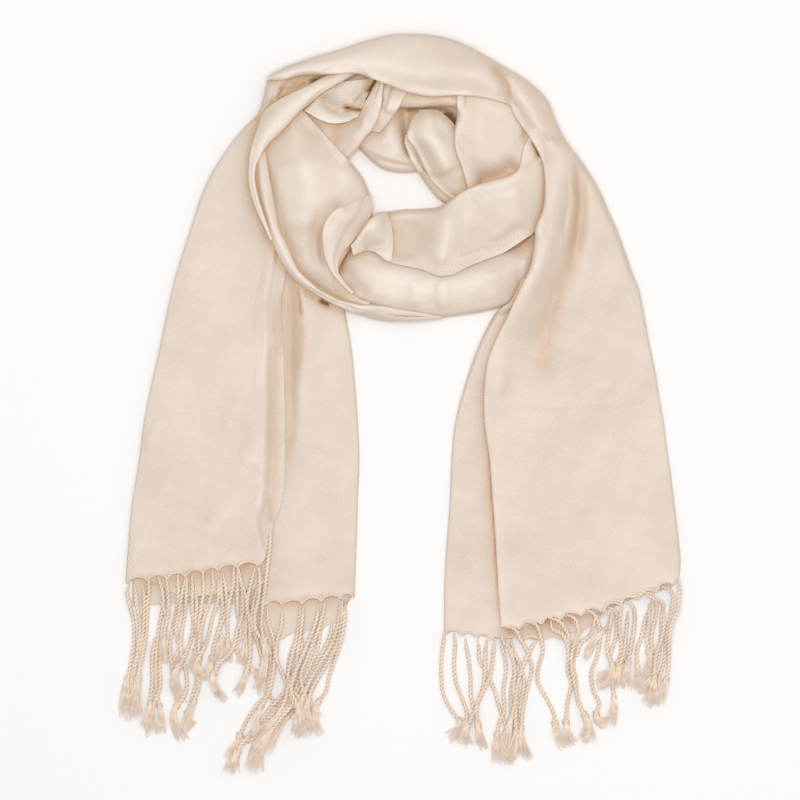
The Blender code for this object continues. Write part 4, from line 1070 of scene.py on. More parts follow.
class Nodes:
    """A tree whose nodes are made one call at a time."""

    def __init__(self, tree):
        self.tree = tree

    def node(self, kind, settings=None, values=None, output=0):
        node = self.tree.nodes.new(kind)
        for name, setting in (settings or {}).items():
            setattr(node, name, setting)
        for name, value in (values or {}).items():
            socket = next(each for each in node.inputs if each.enabled and each.name == name)
            plug(self.tree, socket, value)
        return Value(self.tree, [each for each in node.outputs if each.enabled][output])

    def parts(self, vector):
        x = self.node("ShaderNodeSeparateXYZ", values={"Vector": vector})
        return [Value(self.tree, each) for each in x.socket.node.outputs]

    def vector(self, x, y, z):
        return self.node("ShaderNodeCombineXYZ", values={"X": x, "Y": y, "Z": z})

    def vectors(self, operation, first, second):
        """Vector maths on two vectors, or on a vector and a number for SCALE."""
        node = self.tree.nodes.new("ShaderNodeVectorMath")
        node.operation = operation
        places = (0, 3) if operation == "SCALE" else (0, 1)
        for place, value in zip(places, (first, second)):
            if value is not None:
                plug(self.tree, node.inputs[place], value)
        return Value(self.tree, node.outputs[0])


class Finish(Nodes):
    """A material on a Principled shader."""

    def __init__(self, name):
        self.material = bpy.data.materials.new(name)
        self.material.use_nodes = True
        super().__init__(self.material.node_tree)
        self.shader = self.tree.nodes["Principled BSDF"]

    def place(self):
        """Object coordinates."""
        return self.node("ShaderNodeTexCoord", output=3)

    def mark(self, name):
        """What the mesh says of each point."""
        return self.node("ShaderNodeAttribute", {"attribute_name": name}, output=2)

    def noise(self, place, scale, detail=2.0):
        return self.node("ShaderNodeTexNoise",
                         values={"Vector": place, "Scale": scale, "Detail": detail})

    def bumped(self, height):
        return self.node("ShaderNodeBump",
                         values={"Height": height, "Strength": BUMP_STRENGTH, "Distance": 1.0})

    def ramp(self, factor, *stops):
        """A grey ramp through (place, shade) stops."""
        ramp = self.node("ShaderNodeValToRGB", values={"Fac": factor})
        elements = ramp.socket.node.color_ramp.elements
        while len(elements) < len(stops):
            elements.new(0.5)
        for element, (place, shade) in zip(elements, stops):
            element.position = place
            element.color = (shade, shade, shade, 1.0)
        return ramp

    def mixed(self, factor, first, second, blend="MIX"):
        return self.node("ShaderNodeMix", {"data_type": "RGBA", "blend_type": blend},
                         {"Factor": factor, "A": first, "B": second})

    def surface(self, values):
        for name, value in values.items():
            plug(self.tree, self.shader.inputs[name], value)

    def overlaid(self, factor, values):
        """Lay a second Principled shader over the first where the factor says so."""
        first, link = self.shader, self.tree.links.new
        self.shader = self.tree.nodes.new("ShaderNodeBsdfPrincipled")
        self.surface(values)
        mix = self.tree.nodes.new("ShaderNodeMixShader")
        link(factor.socket, mix.inputs[0])
        link(first.outputs["BSDF"], mix.inputs[1])
        link(self.shader.outputs["BSDF"], mix.inputs[2])
        link(mix.outputs["Shader"], self.tree.nodes["Material Output"].inputs["Surface"])


def opaque(colour):
    return (*colour, 1.0)


# relief of the finishes, in metres
RIB_RELIEF, NAP_RELIEF, CREPE_RELIEF, FUZZ_RELIEF = 0.00010, 0.00018, 0.00035, 0.00025
RIB_WANDER = 0.0012
BUMP_STRENGTH = 0.8


def twill_material(settings):
    """Fine wool twill: slanting ribs that come and go, a soft nap and a warm shade, with painted
    light: shade painted into crevices and folds, a painted highlight on crests and a painted glow
    where an edge turns down.
    """
    name = "cream_twill"
    if name in bpy.data.materials:
        return bpy.data.materials[name]
    cloth = Finish(name)
    u, v, _ = cloth.parts(cloth.node("ShaderNodeUVMap", {"uv_map": "UVMap"}))
    place = cloth.place()
    wander = cloth.noise(place, 35.0) - 0.5
    angle = np.radians(settings.twill_slope)
    run = u * float(np.sin(angle)) + v * float(np.cos(angle)) + wander * RIB_WANDER
    rib = (run * (2.0 * np.pi / settings.twill_pitch)).sine()
    patch = cloth.ramp(cloth.noise(place, 22.0, 3.0), (0.34, 0.25), (0.66, 1.0))
    nap = cloth.noise(place, 900.0, 3.0)
    shade = 0.5 + rib * patch * 0.5
    ribbed = cloth.mixed(shade, opaque(settings.groove_colour), opaque(settings.rib_colour))
    warm = cloth.ramp(cloth.noise(place, 14.0) * 0.7 + nap * 0.3, (0.30, 0.90), (0.70, 1.0))
    # painted light: crests are painted paler and troughs darker, standing in for the sheen of the
    # light on the folds
    crest = cloth.mark("crest")
    toned = cloth.mixed(1.0, ribbed, warm * (1.0 + crest * settings.crest_painted_light), "MULTIPLY")
    toned = cloth.mixed(crest.at_least(0.0) * settings.crest_highlight_share, toned,
                        opaque(settings.crest_highlight_colour))
    # painted shade: a warm tint where the cloth lies below what is beside it
    sheltered = cloth.mark("crevice_shade")
    tinted = cloth.mixed(1.0, toned, opaque(settings.crevice_shade_tint), "MULTIPLY")
    shaded = cloth.mixed(sheltered, toned, tinted)
    # painted shade: warm brown, then dark brown, deep in the creases' folds and under hem arches
    fold_shade = cloth.mark("fold_shade")
    warmed = cloth.mixed(fold_shade * 2.0, shaded, opaque(settings.fold_shade_colour))
    colour = cloth.mixed(fold_shade * 2.0 - 1.0, warmed, opaque(settings.hollow_shade_colour))
    crepe = cloth.noise(place, 260.0, 3.0)
    relief = rib * patch * RIB_RELIEF + nap * NAP_RELIEF + crepe * CREPE_RELIEF
    bump = cloth.bumped(relief)
    # painted glow: a faint emission where an edge turns down, standing in for light through the
    # cloth
    edge = cloth.mark("edge")
    glow = cloth.mixed(edge, (0.0, 0.0, 0.0, 1.0), opaque(settings.edge_painted_glow))
    cloth.surface({
        "Base Color": colour,
        "Normal": bump,
        "Emission Color": glow,
        "Emission Strength": 1.0,
        "Roughness": 0.46,
        "Specular IOR Level": 0.55,
        "Sheen Weight": 0.22,
        "Sheen Roughness": 0.45,
        "Sheen Tint": (1.0, 0.93, 0.84, 1.0),
    })
    # deep in a fold, where the fold shade is painted darkest, no nap catches the light
    cloth.overlaid((fold_shade * 2.0 - 1.0).at_least(0.0), {
        "Base Color": colour,
        "Normal": bump,
        "Roughness": 0.95,
        "Specular IOR Level": 0.0,
    })
    return cloth.material


def cord_material(settings):
    """Twisted yarn with painted light: a painted highlight on the crown of each ply, painted shade
    in the groove between, and a faint painted glow.
    """
    cord = Finish("twisted_yarn")
    crown = cord.mark("ply")
    place = cord.place()
    tone = cord.ramp(cord.noise(place, 60.0, 3.0), (0.3, 0.88), (0.7, 1.0))
    shade = cord.mixed(crown ** 0.7, opaque(settings.cord_groove_shade), opaque(settings.cord_colour))
    fuzz = cord.noise(place, 1400.0, 3.0) * FUZZ_RELIEF
    cord.surface({
        "Base Color": cord.mixed(1.0, shade, tone, "MULTIPLY"),
        "Normal": cord.bumped(fuzz),
        "Roughness": 0.8,
        "Specular IOR Level": 0.25,
        "Sheen Weight": 0.35,
        "Sheen Roughness": 0.4,
        "Sheen Tint": (1.0, 0.94, 0.86, 1.0),
        # painted glow: a faint emission in the yarn's own colour
        "Emission Color": opaque(settings.cord_colour),
        "Emission Strength": 0.05,
    })
    return cord.material


def fibre_material(settings):
    """Loose combed ends of the yarn, with a painted glow standing in for light through them."""
    fibre = Finish("loose_fibres")
    place = fibre.place()
    strand = fibre.mark("strand")
    lock = fibre.ramp(fibre.noise(place, 170.0, 2.0), (0.35, 0.82), (0.62, 1.0))
    shade = fibre.mixed(strand, opaque(settings.fibre_shade), opaque(settings.fibre_colour))
    fibre.surface({
        "Base Color": fibre.mixed(1.0, shade, lock, "MULTIPLY"),
        "Roughness": 0.85,
        "Specular IOR Level": 0.2,
        "Sheen Weight": 0.3,
        "Sheen Roughness": 0.5,
        # painted glow: emission in the fibres' colour, in place of light through them
        "Emission Color": opaque(settings.fibre_colour),
        "Emission Strength": 0.12,
    })
    return fibre.material


# -------------------- how tassels grow
class Growth(Nodes):
    """A Geometry Nodes tree with named inputs."""

    def __init__(self, name, inputs):
        super().__init__(bpy.data.node_groups.new(name, "GeometryNodeTree"))
        self.identifiers = {}
        for label, kind in inputs:
            self.identifiers[label] = self.tree.interface.new_socket(
                name=label, in_out="INPUT", socket_type="NodeSocket" + kind).identifier
        self.tree.interface.new_socket(
            name="Geometry", in_out="OUTPUT", socket_type="NodeSocketGeometry")
        given = self.tree.nodes.new("NodeGroupInput")
        self.given = {label: Value(self.tree, given.outputs[label]) for label, _ in inputs}

    def named(self, name):
        return self.node("GeometryNodeInputNamedAttribute", {"data_type": "FLOAT"}, {"Name": name})

    def random(self, index, low, high, seed):
        return self.node("FunctionNodeRandomValue", {"data_type": "FLOAT"},
                         {"Min": low, "Max": high, "ID": index, "Seed": self.given["Seed"] + seed})

    def marked(self, geometry, name, value):
        return self.node("GeometryNodeStoreNamedAttribute",
                         {"data_type": "FLOAT", "domain": "POINT"},
                         {"Geometry": geometry, "Name": name, "Value": value})

    def coated(self, geometry, finish):
        return self.node("GeometryNodeSetMaterial",
                         values={"Geometry": geometry, "Material": finish})

    def joined(self, *pieces):
        node = self.tree.nodes.new("GeometryNodeJoinGeometry")
        for piece in reversed(pieces):
            self.tree.links.new(piece.socket, node.inputs[0])
        return Value(self.tree, node.outputs[0])

    def finish(self, geometry):
        out = self.tree.nodes.new("NodeGroupOutput")
        self.tree.links.new(geometry.socket, out.inputs[0])


def two_ply(grow):
    """The outline of two yarns side by side, with how near each point is to a crown, which the
    yarn's finish uses for its painted highlight and groove shade.
    """
    circle = grow.node("GeometryNodeCurvePrimitiveCircle",
                       values={"Resolution": PLY_SIDES, "Radius": 1.0})
    spot = grow.node("GeometryNodeInputPosition")
    crown = abs(grow.parts(spot)[0])
    marked = grow.marked(circle, "ply", crown)
    narrow = PLY_WAIST + crown * (1.0 - PLY_WAIST)
    return grow.node("GeometryNodeSetPosition", values={
        "Geometry": marked, "Position": grow.vectors("SCALE", spot, narrow)})


def swept(grow, curve, profile, width):
    """A tube of a given half width along a curve."""
    even = grow.node("GeometryNodeSetCurveRadius", values={"Curve": curve, "Radius": 1.0})
    return grow.node("GeometryNodeCurveToMesh", values={
        "Curve": even, "Profile Curve": profile, "Scale": width, "Fill Caps": True})


def tassel_tree():
    """Grow two-ply cords with a knot and a brush of loose fibres along given lines."""
    grow = Growth("twisted_tassels", [
        ("Lines", "Geometry"), ("Cord Width", "Float"), ("Twist Pitch", "Float"),
        ("Knot Width", "Float"), ("Fibres", "Int"), ("Fibre Width", "Float"),
        ("Cord Finish", "Material"), ("Fibre Finish", "Material"), ("Seed", "Int")])
    given = grow.given
    lines = grow.node("GeometryNodeMeshToCurve", values={"Mesh": given["Lines"]})
    split = grow.node("GeometryNodeSeparateGeometry", {"domain": "CURVE"},
                      {"Geometry": lines, "Selection": grow.named("kind") < 0.5})
    brushes = Value(grow.tree, split.socket.node.outputs[1])
    outline = two_ply(grow)
    curve_index = grow.node("GeometryNodeCurveOfPoint")
    gone = grow.node("GeometryNodeSplineParameter", output=1)
    share = grow.node("GeometryNodeSplineParameter")

    # the cords: two yarns laid round each other
    thick = grow.named("width") * given["Cord Width"] * 0.5
    cords = grow.node("GeometryNodeResampleCurve", {"mode": "LENGTH"}, {
        "Curve": split, "Length": given["Twist Pitch"] * RINGS_SHARE})
    tilt = gone * (2.0 * np.pi) / given["Twist Pitch"] + grow.random(curve_index, *ANY_TURN, 1)
    turned = grow.node("GeometryNodeSetCurveTilt", values={"Curve": cords, "Tilt": tilt})
    cord_mesh = grow.coated(swept(grow, turned, outline, thick), given["Cord Finish"])

    # a knot at the end of each cord: the cord wound round itself
    wound = given["Knot Width"] * KNOT_COIL
    spiral = grow.node("GeometryNodeCurveSpiral", values={
        "Resolution": KNOT_RINGS, "Rotations": KNOT_TURNS, "Start Radius": wound,
        "End Radius": wound * KNOT_CLOSES, "Height": given["Knot Width"] * KNOT_TALL})
    middle = grow.node("GeometryNodeTransform", values={
        "Geometry": spiral,
        "Translation": grow.vector(0.0, 0.0, given["Knot Width"] * KNOT_DROP)})
    twisted = grow.node("GeometryNodeSetCurveTilt", values={
        "Curve": middle, "Tilt": gone * (2.0 * np.pi) / given["Twist Pitch"]})
    knot = swept(grow, twisted, outline, given["Knot Width"] * KNOT_PLY)
    ends = grow.node("GeometryNodeCurveEndpointSelection", values={"Start Size": 0, "End Size": 1})
    aligned = grow.node("FunctionNodeAlignRotationToVector", {"axis": "Z"}, {
        "Vector": grow.node("GeometryNodeInputTangent")})
    roll = grow.node("FunctionNodeAxisAngleToRotation", values={
        "Axis": (0.0, 0.0, 1.0), "Angle": grow.random(curve_index, *ANY_TURN, 2)})
    facing = grow.node("FunctionNodeRotateRotation", {"rotation_space": "LOCAL"}, {
        "Rotation": aligned, "Rotate By": roll})
    size = grow.random(curve_index, *KNOT_SIZES, 3)
    knots = grow.node("GeometryNodeInstanceOnPoints", values={
        "Points": cords, "Selection": ends * (grow.named("knot") > 0.5), "Instance": knot,
        "Rotation": facing, "Scale": grow.vector(size, size, size)})
    knot_mesh = grow.coated(knots, given["Cord Finish"])

    # the brush below each knot: fibres that splay, waver and end unevenly
    even = grow.node("GeometryNodeResampleCurve", {"mode": "COUNT"}, {
        "Curve": brushes, "Count": BRUSH_POINTS})
    many = grow.node("GeometryNodeDuplicateElements", {"domain": "SPLINE"}, {
        "Geometry": even, "Amount": given["Fibres"]})
    around = grow.random(curve_index, -1.0, 1.0, 4)
    above = grow.random(curve_index, 0.0, 1.0, 5)
    tangent = grow.node("GeometryNodeInputTangent")
    beside = grow.vectors("CROSS_PRODUCT", tangent, (0.0, 0.0, 1.0))
    sideways = grow.vectors("NORMALIZE", beside, None)
    width = grow.named("width")
    waver = grow.node("ShaderNodeTexNoise", {"noise_dimensions": "4D"}, {
        "Vector": grow.node("GeometryNodeInputPosition"),
        "W": grow.random(curve_index, *WAVERS, 6),
        "Scale": WAVER_SCALE, "Detail": 1.0}) - 0.5
    out = around * width + waver * share * FIBRE_WAVER
    up = above * (BRUSH_THICK - share * BRUSH_THINS) + share * FIBRE_LIFT
    moved = grow.node("GeometryNodeSetPosition", values={
        "Geometry": many, "Offset": grow.vectors(
            "ADD", grow.vectors("SCALE", sideways, out), grow.vector(0.0, 0.0, up))})
    cut = grow.node("GeometryNodeTrimCurve", {"mode": "FACTOR"}, {
        "Curve": moved, "End": grow.random(grow.node("GeometryNodeInputIndex"), *FIBRE_LENGTHS, 7)})
    stub = grow.node("GeometryNodeCurvePrimitiveCircle", values={"Resolution": 3, "Radius": 1.0})
    toned = grow.marked(cut, "strand", grow.random(curve_index, 0.0, 1.0, 8))
    fibres = swept(grow, toned, stub, given["Fibre Width"] * (0.5 - share * 0.25))
    fibre_mesh = grow.coated(fibres, given["Fibre Finish"])

    # what would sink into the surface lies flat on it
    whole = grow.node("GeometryNodeRealizeInstances", values={
        "Geometry": grow.joined(cord_mesh, knot_mesh, fibre_mesh)})
    x, y, z = grow.parts(grow.node("GeometryNodeInputPosition"))
    resting = grow.node("GeometryNodeSetPosition", values={
        "Geometry": whole, "Position": grow.vector(x, y, z.at_least(0.0))})
    soft = grow.node("GeometryNodeSetShadeSmooth",
                     values={"Geometry": resting, "Shade Smooth": True})
    grow.finish(soft)
    return grow


# -------------------- the fringe
class CordBed:
    """The heights that cords lie on, on a finer grid than the sheets'."""

    def __init__(self):
        self.x = np.arange(FRINGE_X[0], FRINGE_X[1], CORD_CELL)
        self.y = np.arange(FRINGE_Y[0], FRINGE_Y[1], CORD_CELL)
        x, y = np.meshgrid(self.x, self.y, indexing="ij")
        self.heights = sampled(PILE.heights, x, y)

    def cells(self, x, y):
        i = np.clip(np.round((x - FRINGE_X[0]) / CORD_CELL).astype(int), 0, len(self.x) - 1)
        j = np.clip(np.round((y - FRINGE_Y[0]) / CORD_CELL).astype(int), 0, len(self.y) - 1)
        return i, j

    def highest(self, x, y, reach):
        """The highest point within reach of each place."""
        around = [(dx, dy) for dx in (-reach, 0.0, reach) for dy in (-reach, 0.0, reach)]
        return np.max([self.heights[self.cells(x + dx, y + dy)] for dx, dy in around], axis=0)

    def cover(self, x, y, z, reach):
        """Raise the bed under a cord, within its own half width."""
        steps = np.arange(-reach, reach + CORD_CELL / 2, CORD_CELL)
        for dx in steps:
            for dy in steps:
                if dx * dx + dy * dy <= reach * reach:
                    np.maximum.at(self.heights, self.cells(x + dx, y + dy), z)


def curved(points, step):
    """A smooth route through given points, in even steps."""
    points = np.array(points) * MM
    knots = np.concatenate([[0.0], np.cumsum(np.hypot(*np.diff(points, axis=0).T))])
    at = np.linspace(0.0, knots[-1], max(3, int(knots[-1] / step) + 1))
    return smooth(points, knots, at), at


def draped(bed, route, radius):
    """Heights along a cord that rests on what it crosses and rounds each hump."""
    resting = bed.highest(route[:, 0], route[:, 1], radius * CORD_FOOT)
    widest = np.max([np.roll(np.pad(resting, HUMP, mode="edge"), k)[HUMP:-HUMP]
                     for k in range(-HUMP, HUMP + 1)], axis=0)
    padded = np.pad(widest, HUMP, mode="edge")
    return np.mean([np.roll(padded, k)[HUMP:-HUMP] for k in range(-HUMP, HUMP + 1)], axis=0)


def tassel_lines(bed, tassels, threads, width):
    """The routes of cords and brushes: points, the edges that join them, and their facts."""
    points, edges, facts = [], [], []

    def line(route, z, thick, kind, knot=0.0):
        start = len(points)
        points.extend(np.column_stack([route, z]).tolist())
        edges.extend((k, k + 1) for k in range(start, len(points) - 1))
        facts.extend(zip(thick, [kind] * len(route), [0.0] * (len(route) - 1) + [knot]))

    radius = width / 2
    for route in threads:
        z = bed.highest(route[:, 0], route[:, 1] + THREAD_INSET, 0.0) + THREAD_RISE
        line(route, z, np.full(len(route), THREAD_WIDTH), CORD_KIND)
    for tassel in tassels:
        route, gone = curved(tassel.route, CORD_STEP)
        z = draped(bed, route, radius) + radius * CORD_REST
        z -= radius * CORD_SINK * (1.0 - eased(gone / CORD_START))
        thick = CORD_TIP + (1.0 - CORD_TIP) * eased(gone / CORD_START)
        line(route, z, thick, CORD_KIND, 1.0 if tassel.spread else 0.0)
        bed.cover(route[:, 0], route[:, 1], z + radius * CORD_TOP, radius * CORD_COVER)
        if not tassel.spread:
            continue
        tip = np.array(tassel.tip) * MM
        last, heading = route[-1], route[-1] - route[-3]
        heading = heading / np.hypot(*heading) * np.hypot(*(tip - last)) * BRUSH_BEND
        s = np.linspace(0.0, 1.0, BRUSH_POINTS)
        bend = last + heading
        brush = (np.outer((1 - s) ** 2, last) + np.outer(2 * s * (1 - s), bend)
                 + np.outer(s * s, tip))
        opened = radius * BRUSH_ROOT + tassel.spread * MM * s ** BRUSH_OPENS
        fallen = eased(s / BRUSH_FALL)
        lying = draped(bed, brush, radius) + BRUSH_LIFT
        lying = z[-1] * (1 - fallen) + lying * fallen
        line(brush, lying, opened, BRUSH_KIND)
        for lane in BRUSH_LANES:
            across = np.array([-heading[1], heading[0]]) / np.hypot(*heading) * lane
            bed.cover(*(brush + across * opened[:, None]).T, lying + BRUSH_DEPTH, radius)
    return points, edges, facts


def hem_threads(hem, row):
    """The thin cord along each arch of a hem, as routes."""
    line = np.array([row.edge_in, *row.via, row.edge_out]) * MM
    order = np.argsort(line[:, 0])
    routes = []
    for start, end in zip(hem.feet[:-1], hem.feet[1:]):
        x = np.linspace(start, end, ARCH_POINTS) * MM
        y = np.interp(x, line[order, 0], line[order, 1])
        hang = (hem.drop * scallop(hem, x) - hem.rise) * MM
        routes.append(np.column_stack([x, y - hang]))
    return routes


def fringe_object(name, bed, tassels, threads, grow, inputs):
    """One run of fringe, grown on its lines and turned into a plain mesh."""
    points, edges, facts = tassel_lines(bed, tassels, threads, inputs["Cord Width"])
    mesh = bpy.data.meshes.new(name)
    mesh.from_pydata(points, edges, [])
    for label, values in zip(("width", "kind", "knot"), zip(*facts)):
        mesh.attributes.new(label, "FLOAT", "POINT").data.foreach_set("value", values)
    thing = bpy.data.objects.new(name, mesh)
    bpy.context.scene.collection.objects.link(thing)
    grown = thing.modifiers.new("tassels", "NODES")
    grown.node_group = grow.tree
    for label, value in inputs.items():
        grown[grow.identifiers[label]] = value
    context = bpy.context.evaluated_depsgraph_get()
    plain = bpy.data.meshes.new_from_object(thing.evaluated_get(context), depsgraph=context)
    thing.modifiers.clear()
    thing.data = plain
    plain.name = name
    return thing


# -------------------- the pieces
PILE = Pile()
LAID = []


def edge_and_back(under_in, under_out):
    """A stretch folded under along both edges."""
    return [Run(under_in, 0.0, 0.0, False), Run(0.0, 1.0, 1.0),
            Run(1.0, 1.0 - under_out, 0.0, False)]


FRONT_FOLD_AT = 0.85        # where the hidden plies of the left tail end, across it
RETURN_AT = 0.52            # how far the ply under the left tail's back reaches
SELVEDGE_AT = 0.04          # how near a hidden ply comes to the opposite edge
RETURN_LONGER = (3, 22, 25, 26, 27, 28, 30, 31, 32, 33, 34)

PLIES = {
    "left_tail_back": [Run(0.02, 1.0, 1.0), Run(1.0, RETURN_AT, 0.0, True, RETURN_LONGER)],
    "left_tail_front": [Run(1.0, 0.0, 1.0),
                        Run(0.0, FRONT_FOLD_AT, 0.5, False, (0, 12, 22, 24, 22, 20)),
                        Run(FRONT_FOLD_AT, SELVEDGE_AT, 0.0, False, (20, 20))],
    "neck_back": edge_and_back(0.46, 0.46),
    "neck_rim": edge_and_back(0.40, 0.45),
    "neck_puff": [Run(0.55, 0.0, 0.0, False), Run(0.0, 1.0, 1.0)],
    "loop_right": [Run(0.30, 0.0, 0.0, False), Run(0.0, 1.0, 1.0)],
    "loop_front_lower": edge_and_back(0.40, 0.52),
    "loop_front_upper": [Run(0.50, 0.0, 0.0, False), Run(0.0, 1.0, 1.0)],
    "loop_left": [Run(0.0, 1.0, 1.0), Run(1.0, SELVEDGE_AT, 0.0, False)],
    "loop_tuck": [Run(0.55, 0.0, 0.0, False), Run(0.0, 1.0, 1.0)],
    "loop_twist": edge_and_back(0.30, 0.55),
    "loop_roll": edge_and_back(0.40, 0.45),
    "loop_edge": edge_and_back(0.42, 0.45),
    "loop_curl": edge_and_back(0.12, 0.80),
    "neck_strip_left": [Run(0.0, 1.0, 1.0), Run(1.0, 0.60, 0.0, False)],
    "neck_strip_mid": edge_and_back(0.40, 0.45),
    "neck_edge": [Run(0.0, 1.0, 1.0), Run(1.0, 0.30, 0.0, False)],
    "corner_folds": [Run(0.50, 0.0, 0.0, False), Run(0.0, 1.0, 1.0)],
    "right_tail_side": [Run(1.0, 0.0, 1.0), Run(0.0, 0.92, 0.0, False)],
    "crossing": edge_and_back(0.30, 0.66),
}
